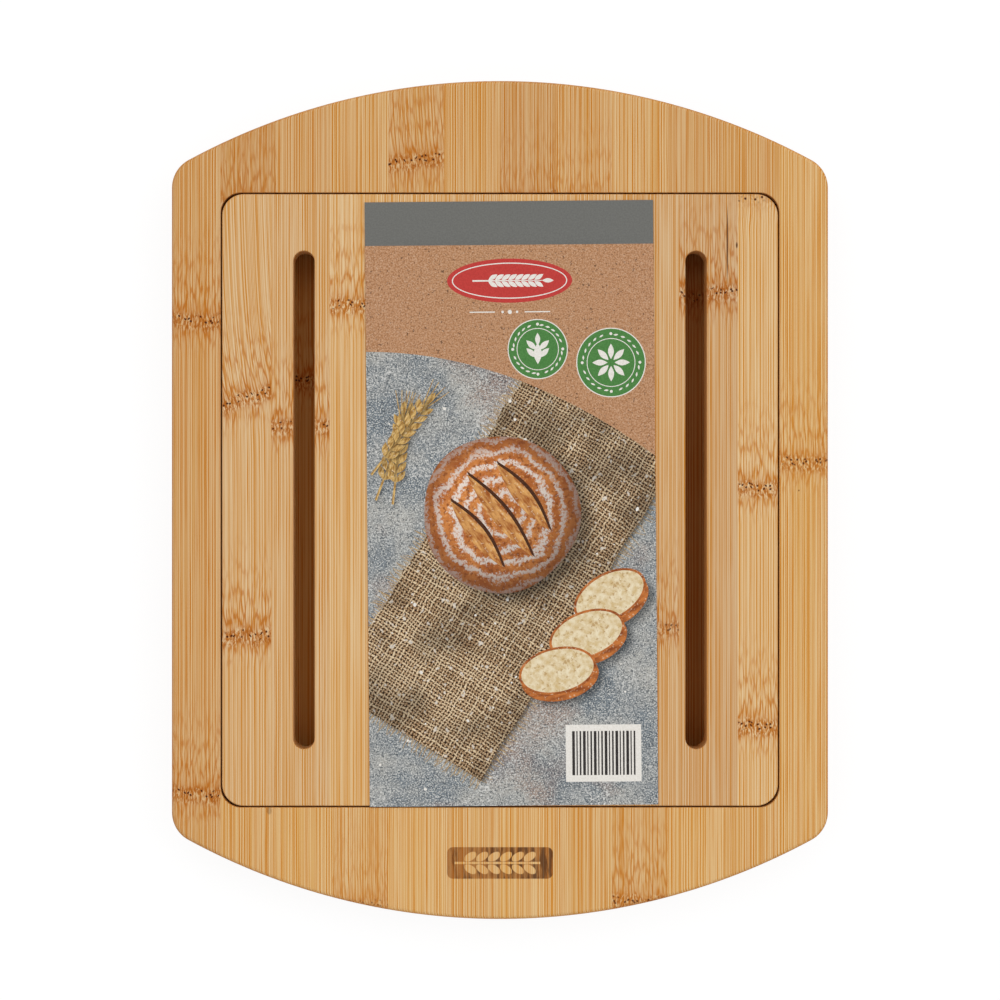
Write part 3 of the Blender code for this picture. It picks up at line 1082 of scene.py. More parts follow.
@dataclass
class Tray(Board):
    """The tray: base strips, core rails and blocks, and the face's side, head and foot strips.

    Attributes:
        core_top: level where the core meets the face.
        end_strips: how many strips lie side by side at the head and foot.
        base_strips: how many lie in the base.
    """

    body: Body = Body.TRAY
    shape: TrayShape = field(default_factory=TrayShape)
    core_top: float = 0.01785
    end_strips: int = 10
    base_strips: int = 11

    HEAD_TONES = (0.93, 0.98, 1.02, 0.98, 1.01, 0.94, 1.0, 1.03, 0.98, 1.0)
    FOOT_TONES = (1.04, 1.07, 1.04, 1.09, 1.06, 1.09, 1.05, 1.03, 1.09, 1.06)
    # The ninth base strip, under the right-hand slot, is made much darker than the rest, which darkens that slot's
    # floor.
    BASE_TONES = (0.97, 1.02, 1.0, 0.96, 1.03, 0.95, 1.0, 1.02, 0.74, 0.93, 1.0)
    LEFT_MARKS = (Knuckle(85.7), Knuckle(-137.8))
    RIGHT_MARKS = (Knuckle(18.7, strength=0.9),)
    HEAD_MARKS = {
        1: (Knuckle(140.0, strength=0.8),),
        4: (Knuckle(160.4, 0.12),),
        6: (Knuckle(143.0, strength=0.5),),
        7: (Knuckle(139.0, strength=0.6),),
    }
    FOOT_MARKS = {3: (Knuckle(-191.0, strength=0.5),), 8: (Knuckle(-189.0, strength=0.9),)}
    BASE_MARKS = {
        **{
            number: (Knuckle(along),)
            for number, along in ((1, -60.0), (2, 120.0), (3, 57.4), (4, -110.0), (5, 20.0), (7, -30.0), (8, 75.0))
        },
        6: (Knuckle(150.0), Knuckle(-95.0)),
        9: (Knuckle(96.8, strength=0.8),),
        10: (Knuckle(-145.0),),
        11: (Knuckle(35.0),),
    }

    def plies(self) -> dict[str, Ply]:
        """The face, the core and the base, with the colours of more deeply oiled bamboo."""
        oiled = {"pale": "#DDBA89", "straw": "#D29F5B", "bundle": "#C57B1E", "rubbed": "#B06A22"}
        level = self.shape.base_top / MM
        # The base's pan floor is darkened with painted shade, and its specular level is low.
        base = SandedBamboo("base bamboo, flat strips, oil soaked in", painted_shade_level=level, shine=0.04, **oiled)
        core = SandedBamboo("core bamboo, staves on edge, oiled", pale="#D6AC77", straw="#C18E54", stave=6.2)
        face = SandedBamboo(
            "tray bamboo, flat strips, oiled",
            hairlines=(Hairline(141.0, 4.5, 0.35, 0.6, 0.8), Hairline(-108.9, -146.5, 1.6, 2.4, 0.35)),
            badge=BurntBadge((0.0, -171.2)),
            **oiled,
        )
        return {
            "tray_base": Ply(base, Stock.TRAY, routed=False),
            "tray_core": Ply(core, Stock.CORE),
            "tray": Ply(face, Stock.TRAY),
        }

    def strips(self) -> list[Strip]:
        """The strips of the base, the core and the face, not yet cut to shape."""
        shape = self.shape
        far, outside, inside = shape.length / 2 + PAST, shape.width / 2 + PAST, shape.pocket[0] / 2
        rail = inside - shape.ledge_width
        core = (shape.base_top, self.core_top)
        face = (self.core_top, shape.height + PAST)
        joints = even(shape.width, self.base_strips)
        joints[0], joints[-1] = -outside, outside
        base = (-PAST, shape.base_top)
        found = Row("tray_base_strip", joints, (-far, far), base, self.BASE_TONES, 11.3, 3.7, self.BASE_MARKS).strips()
        for name, left, right, foot, head, (under, top), tone, seed, marks in (
            ("core_rail_left", -outside, -rail, -far, far, core, 1.0, 61.0, ()),
            ("core_rail_right", rail, outside, -far, far, core, 1.0, 65.2, ()),
            ("core_block_head", -rail, rail, 0.0, far, core, 1.0, 71.4, ()),
            ("core_block_foot", -rail, rail, -far, 0.0, core, 1.0, 77.7, ()),
            ("side_strip_left", -outside, -inside, -far, far, face, 0.97, 81.9, self.LEFT_MARKS),
            ("side_strip_right", inside, outside, -far, far, face, 1.08, 86.3, self.RIGHT_MARKS),
        ):
            found.append(Strip(f"tray_{name}", (left, foot, under), (right, head, top), tone, seed, marks))
        joints = even(2 * inside, self.end_strips)
        heads = Row("tray_head_strip", joints, (0.0, far), face, self.HEAD_TONES, 101.0, 4.3, self.HEAD_MARKS)
        feet = Row("tray_foot_strip", joints, (-far, 0.0), face, self.FOOT_TONES, 157.0, 5.1, self.FOOT_MARKS)
        return found + [strip for pair in zip(heads.strips(), feet.strips()) for strip in pair]


@dataclass
class Insert(Board):
    """The insert: a backing ply and a face ply, both with the slots cut through them.

    Attributes:
        ply_level: level where the two plies meet.
    """

    body: Body = Body.INSERT
    shape: InsertShape = field(default_factory=InsertShape)
    ply_level: float = 0.01765

    # Where the face's joints lie, in slot spacings from the leftmost slot.
    FACE_SHARES = (-0.333, 0.262, 0.80, 1.45, 2.045, 2.64, 3.235, 3.827, 4.424)
    FACE_TONES = (0.98, 0.96, 1.03, 1.0, 0.97, 1.02, 0.98, 0.94, 0.91, 1.04)
    FACE_MARKS = {
        1: (Knuckle(48.4, 0.28), Knuckle(-63.5)),
        **{
            number: (Knuckle(along),)
            for number, along in ((2, 35.2), (3, 92.8), (4, -20.0), (5, 70.0), (6, -90.0), (7, 15.0), (9, 98.0))
        },
        8: (Knuckle(-60.2, strength=0.8),),
        10: (Knuckle(141.9, strength=0.25), Knuckle(5.9), Knuckle(-106.6)),
    }
    BACK_TONES = (0.97, 1.03, 0.98, 1.01, 1.0)

    def plies(self) -> dict[str, Ply]:
        """Both plies share one finish, with the checks and specks of the face."""
        hairlines = (
            Hairline(107.2, 121.0, 0.42, 21.5, 0.95),
            Hairline(111.7, 120.2, 0.55, 1.8, 0.9),
            Hairline(112.8, 141.1, 0.6, 0.6, 0.6),
            *(Hairline(x, y, 0.75, 0.75, 0.95) for x, y in ((115.7, 142.2), (120.4, 141.8), (123.6, 142.9))),
        )
        return {"insert": Ply(SandedBamboo("insert bamboo, flat strips, oiled", hairlines=hairlines), Stock.INSERT)}

    def strips(self) -> list[Strip]:
        """The strips of the face and the backing, not yet cut to shape."""
        shape = self.shape
        far, outside = shape.length / 2 + PAST, shape.width / 2 + PAST
        # A backing strip is half a slot spacing wide.
        back_shares = [step / 2 - 1 / 4 for step in range(2 * shape.slot_count)]
        face, back = (
            [-outside, *(shape.pitch * share - shape.slot_reach for share in shares), outside]
            for shares in (self.FACE_SHARES, back_shares)
        )
        tones = [self.BACK_TONES[index % len(self.BACK_TONES)] for index in range(len(back) - 1)]
        marks = {number: (Knuckle((number * 97 % 240) - 120.0),) for number in range(1, len(back))}
        rows = (
            Row(
                "insert_face_strip", face, (-far, far), (self.ply_level, shape.top + PAST),
                self.FACE_TONES, 211.0, 6.7, self.FACE_MARKS,
            ),
            Row(
                "insert_backing_strip", back, (-far, far), (shape.bottom - PAST, self.ply_level),
                tones, 307.0, 5.9, marks,
            ),
        )
        return [strip for row in rows for strip in row.strips()]


# ---- the card's finishes


class CardCoat(Coat):
    """The layers of one finish of the card.

    Attributes:
        place: Object coordinates in millimetres.
        flat: a point's place in its patch's own frame, in millimetres.
    """

    def __init__(self, name: str) -> None:
        """Starts the finish of a name, and reads where a point lies."""
        super().__init__(name)
        self.place: Feed = self.add("VectorMath", {
            0: self.add("TexCoord").outputs["Object"], "Scale": 1 / MM,
        }, operation="SCALE")
        self.form = self.split("form")
        self.flat: Feed = self.add("CombineXYZ", {"X": self.form["X"], "Y": self.form["Y"]})

    def shifted(self, where: Feed, by: tuple[float, float, float]) -> bpy.types.Node:
        """Coordinates moved aside, so that a second pattern doesn't lie on the first."""
        return self.add("VectorMath", {0: where, 1: by})

    def mottle(self, where: Feed, scale: float, low: str, high: str, detail: float = 3.0, sharp: float = 0.2) -> None:
        """Starts with a colour that wanders between two.

        Args:
            where: the coordinates.
            scale: mottles in a millimetre.
            low: the one colour.
            high: the other.
            detail: how many finer layers it carries.
            sharp: half of the noise's range that is blended, smaller for harder edges.
        """
        noise = self.add("TexNoise", {"Vector": where, "Scale": scale, "Detail": detail, "Roughness": 0.6})
        self.colour = linear(low)
        self.stain(high, self.mask(noise, 0.5 - sharp, 0.5 + sharp))

    def flecks(self, code: str, where: Feed, scale: float, start: float, full: float, amount: float = 1.0) -> None:
        """Scatters flecks where a noise passes a level.

        Args:
            code: their colour.
            where: the coordinates.
            scale: the noise's cells in a millimetre.
            start: the level where a fleck starts.
            full: the level where it is at its full strength.
            amount: that strength.
        """
        noise = self.add("TexNoise", {"Vector": where, "Scale": scale, "Detail": 1.0})
        self.stain(code, self.mask(noise, start, full, amount))

    def dry(self) -> bpy.types.Material:
        """Shades the print, dries it matt over the board's tooth, and returns the material."""
        self.shade(self.add("Math", {0: self.form["Z"], 1: -0.78, 2: 1.0}, operation="MULTIPLY_ADD"))
        # Pulp fibres are 0.02 mm thick; their tooth is drawn at 0.5 mm.
        tooth = self.add("TexNoise", {"Vector": self.place, "Scale": 2.0, "Detail": 2.0})
        gloss = self.add("MapRange", {"Value": tooth, "To Min": 0.62, "To Max": 0.85})
        self.varnish(gloss, tooth, 0.3, 0.02 * MM, 0.25)
        return self.material


@dataclass(frozen=True)
class CardFinish:
    """Kraft board printed by offset: the pulp's fibres give it a fine tooth, and the ink dries matt.

    Attributes:
        name: the finish's name.
    """

    name: str

    def material(self) -> bpy.types.Material:
        """Builds the material, which reads Object coordinates and the print's own "form" attribute."""
        coat = CardCoat(self.name)
        self.lay(coat)
        return coat.dry()

    def lay(self, coat: CardCoat) -> None:
        """Lays the finish's colours into a coat."""
        raise NotImplementedError


@dataclass(frozen=True)
class KraftBoard(CardFinish):
    """Unprinted kraft: brown pulp with darker and paler fibres strewn through it."""

    def lay(self, coat: CardCoat) -> None:
        """Lays pulp mottled at a millimetre, and the flecks in it.

        Args:
            coat: the card's coat.
        """
        place = coat.place
        coat.mottle(place, 1.25, "#A97851", "#C79975", 3.0, 0.13)
        coat.flecks("#8A6040", place, 1.5, 0.6, 0.68, 0.8)
        coat.flecks("#5E4330", coat.shifted(place, (71.0, 13.0, 5.0)), 0.75, 0.68, 0.72, 0.8)
        coat.flecks("#D3AF92", coat.shifted(place, (31.0, 53.0, 5.0)), 1.7, 0.6, 0.68, 0.7)


@dataclass(frozen=True)
class PlainInk(CardFinish):
    """One opaque ink, with the board's fibres showing through as a faint mottle.

    Attributes:
        thin: the colour where the ink lies thin.
        full: the colour where it lies full.
    """

    thin: str
    full: str

    def lay(self, coat: CardCoat) -> None:
        """Lays ink mottled at a millimetre into a coat."""
        coat.mottle(coat.place, 1.3, self.thin, self.full)


@dataclass(frozen=True)
class PrintedStone(CardFinish):
    """A picture of a grey stone table: blue-grey with a salt-and-pepper grain, rust stains and flour dust."""

    def lay(self, coat: CardCoat) -> None:
        """Lays the stone's drifts, then rust, grain and dust.

        Args:
            coat: the card's coat.
        """
        add, place = coat.add, coat.place
        coat.mottle(place, 0.035, "#757E85", "#ADABA5", 4.0, 0.16)
        patches = add("TexNoise", {"Vector": place, "Scale": 0.028, "Detail": 4.0})
        coat.stain("#946446", add("MapRange", {"Value": patches, "From Min": 0.56, "From Max": 0.7, "To Max": 0.45}))
        # The stone's grain is drawn at 0.8 mm.
        coat.flecks("#434B52", place, 1.4, 0.5, 0.62, 0.75)
        aside = coat.shifted(place, (40.0, 7.0, 0.0))
        coat.flecks("#D6D6D1", aside, 1.5, 0.52, 0.64, 0.85)
        drift = add("TexNoise", {"Vector": place, "Scale": 0.05, "Detail": 3.0})
        dusty = add("MapRange", {"Value": drift, "From Min": 0.45, "From Max": 0.7})
        dust = add("TexNoise", {"Vector": aside, "Scale": 0.8, "Detail": 2.0})
        coat.stain("#DEDDD9", coat.mask(dust, 0.54, 0.64, held=[dusty]))


@dataclass(frozen=True)
class PrintedSacking(CardFinish):
    """A picture of coarse jute sacking in plain weave, its threads 1.6 mm apart, with dark holes between them.

    Attributes:
        pitch: the threads' spacing, in millimetres.
    """

    pitch: float = 1.6

    def _weave(self, coat: CardCoat) -> Feed:
        """Crosses warp and weft, which pass over each other in turn.

        Args:
            coat: the card's coat.

        Returns:
            How high the cloth stands, each thread with its own height and tone.
        """
        add, flat = coat.add, coat.flat
        noise = add("TexNoise", {"Vector": flat, "Scale": 0.12, "Detail": 2.0}, noise_dimensions="2D").outputs["Color"]
        sway = add("VectorMath", {0: noise, 1: (0.5, 0.5, 0.5)}, operation="SUBTRACT")
        slack = add("VectorMath", {0: sway, 1: (2.6, 2.6, 0.0), 2: flat}, operation="MULTIPLY_ADD")
        axes = coat.split(add("VectorMath", {0: slack, "Scale": 1 / self.pitch}, operation="SCALE"))[:2]
        numbers = [add("Math", {0: axis}, operation="FLOOR") for axis in axes]
        total = add("Math", {0: numbers[0], 1: numbers[1]})
        turn = add("Math", {0: total, 1: 2.0}, operation="FLOORED_MODULO")
        other = add("Math", {0: 1.0, 1: turn}, operation="SUBTRACT")
        heights = []
        for axis, number, over in zip(axes, numbers, (turn, other)):
            inside = add("Math", {0: axis, 1: number}, operation="SUBTRACT")
            across = add("Math", {0: inside, 1: 0.5}, operation="SUBTRACT")
            tone = add("TexWhiteNoise", {"W": number}, noise_dimensions="1D").outputs["Value"]
            share = add("MapRange", {"Value": tone, "To Min": 0.45, "To Max": 0.85})
            raised = add("Math", {0: over, 1: 0.32, 2: share}, operation="MULTIPLY_ADD")
            heights.append(coat.mask(add("Math", {0: across}, operation="ABSOLUTE"), 0.43, 0.1, held=[raised]))
        return add("Math", {0: heights[0], 1: heights[1]}, operation="MAXIMUM")

    def lay(self, coat: CardCoat) -> None:
        """Lays the weave with its fuzz, flour on it, and broad light and shade.

        Args:
            coat: the card's coat.
        """
        add, flat = coat.add, coat.flat
        fuzz = add("TexNoise", {"Vector": flat, "Scale": 1.8, "Detail": 2.0}, noise_dimensions="2D")
        centred = add("Math", {0: fuzz, 1: 0.5}, operation="SUBTRACT")
        cloth = add("Math", {0: centred, 1: 0.9, 2: self._weave(coat)}, operation="MULTIPLY_ADD")
        coat.colour = linear("#21150C")
        coat.stain("#8E6A45", coat.mask(cloth, 0.16, 0.66))
        coat.stain("#DCC8A6", coat.mask(cloth, 0.55, 1.15))
        coat.flecks("#E4DCD0", flat, 0.35, 0.64, 0.72, 0.7)
        drift = add("TexNoise", {"Vector": flat, "Scale": 0.025, "Detail": 3.0}, noise_dimensions="2D")
        coat.shade(coat.mask(drift, 0.38, 0.62, 1.1, least=0.62))


@dataclass(frozen=True)
class PrintedCrust(CardFinish):
    """A picture of a round loaf's crust: deep orange brown, rings of flour left by the basket, darker to its rim.

    Attributes:
        radius: the loaf's radius, in millimetres.
        ring: the flour rings' spacing.
    """

    radius: float = 37.0
    ring: float = 6.5

    def lay(self, coat: CardCoat) -> None:
        """Lays the baked crust, then the flour, then the dome's own light and shade.

        Args:
            coat: the card's coat.
        """
        add, flat, radius = coat.add, coat.flat, self.radius
        coat.mottle(flat, 0.09, "#A95A26", "#D98C4A", 5.0)
        coat.flecks("#7C3F1B", flat, 0.55, 0.52, 0.7, 0.75)
        coat.flecks("#E8A765", coat.shifted(flat, (9.0, 40.0, 0.0)), 0.7, 0.58, 0.7, 0.6)
        out = add("VectorMath", {0: flat}, operation="LENGTH").outputs["Value"]
        sway = add("TexNoise", {"Vector": flat, "Scale": 0.07, "Detail": 2.0}, noise_dimensions="2D")
        bent = add("Math", {0: sway, 1: 9.0, 2: out}, operation="MULTIPLY_ADD")
        phase = add("Math", {0: bent, 1: 2 * math.pi / self.ring}, operation="MULTIPLY")
        wave = add("Math", {0: phase}, operation="SINE")
        powder = add("TexNoise", {
            "Vector": flat, "Scale": 0.75, "Detail": 4.0, "Roughness": 0.7,
        }, noise_dimensions="2D")
        laid = add("Math", {0: wave, 1: 0.16, 2: powder}, operation="MULTIPLY_ADD")
        coat.stain("#E6DDD3", coat.mask(laid, 0.47, 0.68, 0.88))
        coat.stain("#6E3A1C", coat.mask(out, 0.62 * radius, 1.02 * radius, 0.72))
        ways = (-0.7 / radius, 0.7 / radius, 0.0)
        slope = add("VectorMath", {0: flat, 1: ways}, operation="DOT_PRODUCT").outputs["Value"]
        coat.shade(add("Math", {0: slope, 1: 0.3, 2: 0.92}, operation="MULTIPLY_ADD"))


@dataclass(frozen=True)
class PrintedTear(CardFinish):
    """A picture of crust torn open along a score: rough ridges that run with the tear.

    Attributes:
        low: the hollows' colour.
        high: the ridges' colour.
        grit: ridges in a millimetre, across the tear.
    """

    low: str = "#9C541F"
    high: str = "#DFA763"
    grit: float = 0.42

    def lay(self, coat: CardCoat) -> None:
        """Lays ridges drawn out along the tear.

        Args:
            coat: the card's coat.
        """
        along = coat.add("VectorMath", {0: coat.flat, 1: (0.3, 1.0, 1.0)}, operation="MULTIPLY")
        coat.mottle(along, self.grit, self.low, self.high, 4.0, 0.16)
        coat.flecks("#E9D6B8", coat.flat, 0.8, 0.6, 0.72, 0.5)


@dataclass(frozen=True)
class PrintedCrumb(CardFinish):
    """A picture of a loaf's crumb: cream, with darker pores of mixed sizes."""

    def lay(self, coat: CardCoat) -> None:
        """Lays soft drifts and the pores.

        Args:
            coat: the card's coat.
        """
        add, flat = coat.add, coat.flat
        coat.mottle(flat, 0.3, "#D2B682", "#EEE0C0")
        # Bubbles in the dough are pulled out of round as it rises.
        pull = add("TexNoise", {"Vector": flat, "Scale": 0.6, "Detail": 2.0}).outputs["Color"]
        pulled = add("VectorMath", {0: pull, 1: (3.6, 3.6, 0.0), 2: flat}, operation="MULTIPLY_ADD")
        cells = add("TexVoronoi", {
            "Vector": pulled, "Scale": 0.5, "Randomness": 1.0,
        }, voronoi_dimensions="2D").outputs
        size = add("MapRange", {
            "Value": coat.split(cells["Color"])["X"], "From Min": 0.15, "From Max": 1.0, "To Min": -0.05, "To Max": 0.5,
        })
        deep = add("Math", {0: size, 1: cells["Distance"]}, operation="SUBTRACT")
        coat.stain("#B48D56", coat.mask(deep, 0.0, 0.22, 0.7))


class Ink(Enum):
    """What shows on a patch of the card."""

    KRAFT = KraftBoard("kraft board, unprinted")
    SLATE = PlainInk("slate grey ink", "#6A6A66", "#747470")
    RED = PlainInk("red ink", "#B93A35", "#C8413C")
    GREEN = PlainInk("leaf green ink", "#467A3D", "#548A49")
    CREAM = PlainInk("cream ink", "#E2DDD4", "#F1EDE6")
    BLACK = PlainInk("soft black ink", "#2A2725", "#3A3634")
    STONE = PrintedStone("printed stone")
    SACKING = PrintedSacking("printed sacking")
    FRINGE = PlainInk("printed jute threads", "#8B6A42", "#CBB083")
    CRUST = PrintedCrust("printed crust")
    TEAR = PrintedTear("printed tear in a crust")
    RIND = PrintedTear("printed rind", "#87431C", "#C9783B", 0.3)
    CRUMB = PrintedCrumb("printed crumb")
    EAR = PrintedTear("printed wheat ear", "#9A6F33", "#DDB873", 0.9)
    SHADE = PlainInk("printed deep shade", "#3A1F10", "#54301A")


# ---- the card


def oval(across: float, along: float, steps: int = 40) -> Outline:
    """An oval about the origin.

    Args:
        across: its half axis along X.
        along: its half axis along Y.
        steps: its corners.

    Returns:
        The outline.
    """
    return [(across * math.cos(a), along * math.sin(a)) for a in (2 * math.pi * step / steps for step in range(steps))]


def leaf(length: float, width: float, steps: int = 7) -> Outline:
    """A leaf from the origin along +X, pointed at both ends.

    Args:
        length: from end to end.
        width: at its widest.
        steps: chords along each side.

    Returns:
        The outline.
    """
    side = [(length * step / steps, width / 2 * math.sin(math.pi * step / steps)) for step in range(steps + 1)]
    return side + [(x, -y) for x, y in reversed(side[1:-1])]


def strand(length: float, width: float, bend: float, steps: int = 5) -> Outline:
    """A thread from the origin along +X, thinner to its tip, that curves aside.

    Args:
        length: its length.
        width: its width at the origin.
        bend: how far aside its tip lies.
        steps: chords along each side.

    Returns:
        The outline.
    """
    shares = [step / steps for step in range(steps + 1)]
    middle = [(length * share, bend * share**2, width / 2 * (1 - 0.6 * share)) for share in shares]
    return [(x, y + half) for x, y, half in middle] + [(x, y - half) for x, y, half in reversed(middle)]


def moved(outline: Outline, centre: Point, turn: float = 0.0) -> Outline:
    """An outline turned about the origin and carried to a place.

    Args:
        outline: the outline.
        centre: where its origin goes.
        turn: how far it turns, in radians.

    Returns:
        The outline in its place.
    """
    c, s = math.cos(turn), math.sin(turn)
    return [(centre[0] + x * c - y * s, centre[1] + x * s + y * c) for x, y in outline]


def within(points: np.ndarray, outline: Outline) -> np.ndarray:
    """Tells which points lie inside an outline.

    Args:
        points: the points, one a row.
        outline: the outline.

    Returns:
        A truth value for each point.
    """
    ring = np.array(outline)
    after = np.roll(ring, -1, axis=0)
    x, y = points[:, :1], points[:, 1:]
    crosses = (ring[:, 1] > y) != (after[:, 1] > y)
    climb = np.where(after[:, 1] == ring[:, 1], 1.0, after[:, 1] - ring[:, 1])
    meets = ring[:, 0] + (y - ring[:, 1]) * (after[:, 0] - ring[:, 0]) / climb
    return np.count_nonzero(crosses & (x < meets), axis=1) % 2 == 1


def distance(points: np.ndarray, outline: Outline) -> np.ndarray:
    """Measures how far points lie from an outline, less than zero inside it.

    Args:
        points: the points, one a row.
        outline: the outline.

    Returns:
        The distances.
    """
    ring = np.array(outline)
    run = np.roll(ring, -1, axis=0) - ring
    offset = points[:, None, :] - ring[None]
    share = np.clip((offset * run).sum(2) / (run * run).sum(1), 0.0, 1.0)
    gap = np.linalg.norm(offset - share[..., None] * run, axis=2).min(axis=1)
    return np.where(within(points, outline), -gap, gap)


@dataclass(frozen=True)
class Patch:
    """One printed patch of the card, in the card's own millimetres.

    Attributes:
        ink: what shows on it.
        outline: its outline.
        pictured: whether it ends at the picture's edge.
        lift: how far its printed shadow falls, or zero.
        centre: the origin of its ink's own pattern.
        turn: how far that pattern is turned, in radians.
    """

    ink: Ink
    outline: Outline
    pictured: bool = False
    lift: float = 0.0
    centre: Point = (0.0, 0.0)
    turn: float = 0.0


def rectangle(left: float, foot: float, right: float, head: float) -> Outline:
    """A rectangle by its four sides."""
    return [(left, foot), (right, foot), (right, head), (left, head)]


@dataclass(frozen=True)
class CardArt:
    """The card's print: a band, a badge, two roundels, a still life of bread, and a striped label.

    Sizes are in millimetres from the card's middle, with the first axis to the right and the second up.

    Attributes:
        half_width: half of the card's width.
        half_length: half of its length.
        band: height of the grey band at its head.
        crest: how high the picture's edge stands at the card's left.
        fall: how far that edge falls to the card's right.
        badge_middle: the oval badge's middle.
        dots_level: level of the dots below it.
        cloth_middle: the sacking's middle.
        cloth_turn: which way it lies.
        cloth_half: half of its length and width.
        thread: spacing of its loose threads.
        loaf: the loaf's middle.
        loaf_radius: its radius.
        scores_turn: which way its scores run.
        scores: how far aside each score lies, and its length.
        slices: each slice's middle, and which way it lies.
        slice_half: half of a slice's length and width.
        crumb_half: the same inside its rind.
        label_box: the label's left, foot, right and head.
        stripes: the stripes' left, foot and head.
        pinches: how many pinches of flour lie on the picture.
        seed: what the loose threads and the flour start from.
    """

    half_width: float = 68.0
    half_length: float = 142.5
    band: float = 20.6
    crest: float = 72.0
    fall: float = 50.0
    badge_middle: Point = (0.0, 105.0)
    dots_level: float = 90.25
    cloth_middle: Point = (-4.0, -34.0)
    cloth_turn: float = math.radians(58)
    cloth_half: Point = (88.0, 41.0)
    thread: float = 1.1
    loaf: Point = (-5.0, -5.0)
    loaf_radius: float = 37.0
    scores_turn: float = math.radians(128)
    scores: tuple[Point, ...] = ((-14.0, 42.0), (0.0, 52.0), (14.0, 42.0))
    slices: tuple[tuple[Point, float], ...] = (((46.0, -44.0), 0.5), ((35.0, -62.0), 0.35), ((21.0, -79.0), 0.2))
    slice_half: Point = (18.5, 11.0)
    crumb_half: Point = (17.3, 9.9)
    label_box: tuple[float, float, float, float] = (24.6, -131.5, 60.2, -104.6)
    stripes: tuple[float, float, float] = (27.6, -128.4, -107.6)
    pinches: int = 110
    seed: int = 7

    def panel(self) -> Outline:
        """The picture, whose upper edge falls away in a curve to the right."""
        w, steps = self.half_width, 40
        edge = [
            (w - 2 * w * step / steps, self.crest - self.fall * (1 - step / steps) ** 2) for step in range(steps + 1)
        ]
        return [(-w, -self.half_length), (w, -self.half_length)] + edge

    def ear(self, base: Point, turn: float, pairs: int, size: float, ink: Ink, pictured: bool) -> list[Patch]:
        """An ear of wheat on a short stalk.

        Args:
            base: the foot of its stalk.
            turn: which way it points.
            pairs: how many pairs of grains it has.
            size: a grain's length.
            ink: what it is printed with.
            pictured: whether it belongs to the picture.

        Returns:
            Its patches.
        """
        stalk = size * (1.6 + 0.62 * pairs)
        shapes = [strand(stalk, 0.16 * size, 0.0)]
        for pair in range(pairs):
            along = size * (1.5 + 0.62 * pair)
            grain = leaf(size, 0.42 * size)
            shapes += [moved(grain, (along, side * 0.07 * size), side * 0.55) for side in (-1, 1)]
        shapes.append(moved(leaf(1.1 * size, 0.42 * size), (stalk, 0.0)))
        if pictured:
            awn = strand(2.4 * size, 0.1 * size, 0.0, 2)
            shapes += [moved(awn, (stalk * 0.9, 0.0), spread) for spread in (-0.3, -0.12, 0.1, 0.28)]
        lift = 1.0 if pictured else 0.0
        return [Patch(ink, moved(shape, base, turn), pictured, lift, base, turn) for shape in shapes]

    def badge(self) -> list[Patch]:
        """The red oval with a line round it and an ear of wheat, and the rules and dots below it."""
        middle, level = self.badge_middle, self.dots_level
        ovals = ((Ink.RED, 29.5, 10.4), (Ink.CREAM, 27.2, 8.5), (Ink.RED, 26.7, 8.0))
        found = [Patch(ink, moved(oval(across, along, 64), middle)) for ink, across, along in ovals]
        found += self.ear((middle[0] - 17.5, middle[1]), 0.0, 8, 5.0, Ink.CREAM, False)
        found += [Patch(Ink.CREAM, rectangle(x - 6, level - 0.25, x + 6, level + 0.25)) for x in (-13.0, 13.0)]
        dots = ((-3.4, 0.6), (0.0, 1.0), (3.4, 0.6))
        return found + [Patch(Ink.CREAM, moved(oval(size, size, 16), (x, level))) for x, size in dots]

    def roundel(self, middle: Point, radius: float, leaves: Sequence[tuple[float, float, float, float]]) -> list[Patch]:
        """A green roundel with two fine rings, a wreath between them and leaves in the middle.

        Args:
            middle: its middle.
            radius: its radius.
            leaves: for each leaf its start along X and Y, its turn and its length, in shares of the radius.

        Returns:
            Its patches.
        """
        inner = 0.7 * radius
        rims = ((radius, Ink.CREAM), (radius - 0.45, Ink.GREEN), (inner, Ink.CREAM), (inner - 0.35, Ink.GREEN))
        found = [Patch(ink, moved(oval(size, size, 56), middle)) for size, ink in rims]
        for step, spot in enumerate(moved(oval(0.83 * radius, 0.83 * radius, 24), middle)):
            bead, turn = leaf(2.3, 0.85, 5), 2 * math.pi * step / 24 + 1.9
            if step % 6 == 0:
                bead, turn = oval(0.7, 0.7, 12), 0.0
            found.append(Patch(Ink.CREAM, moved(bead, spot, turn)))
        for x, y, turn, length in leaves:
            start = (middle[0] + x * radius, middle[1] + y * radius)
            found.append(Patch(Ink.CREAM, moved(leaf(length * radius, 0.32 * length * radius + 0.5), start, turn)))
        return found

    def roundels(self) -> list[Patch]:
        """The two roundels: a leafy twig and a rosette."""
        twig = [(0.0, -0.5, math.pi / 2, 0.72), (0.0, 0.12, math.pi / 2, 0.42)]
        for height in (-0.28, -0.02):
            twig += [(0.04, height, 0.75, 0.46), (-0.04, height, math.pi - 0.75, 0.46)]
        rosette = [(0.1 * math.cos(a), 0.1 * math.sin(a), a, 0.44) for a in (math.pi / 4 * step for step in range(8))]
        return self.roundel((13.0, 72.6), 14.2, twig) + self.roundel((47.5, 66.0), 16.4, rosette)

    def cloth(self) -> list[Patch]:
        """The sacking and its frayed edges."""
        (long, wide), middle, lie = self.cloth_half, self.cloth_middle, self.cloth_turn
        chance = np.random.default_rng(self.seed)
        found = []

        def fray(start: Point, turn: float) -> None:
            """Adds one loose thread in the cloth's own frame."""
            length, bend = 2.5 + 4.5 * chance.random(), 3.0 * (chance.random() - 0.5)
            place = moved([start], middle, lie)[0]
            shape = moved(strand(length, 0.55, bend), place, lie + turn + 0.5 * (chance.random() - 0.5))
            found.append(Patch(Ink.FRINGE, shape, True))

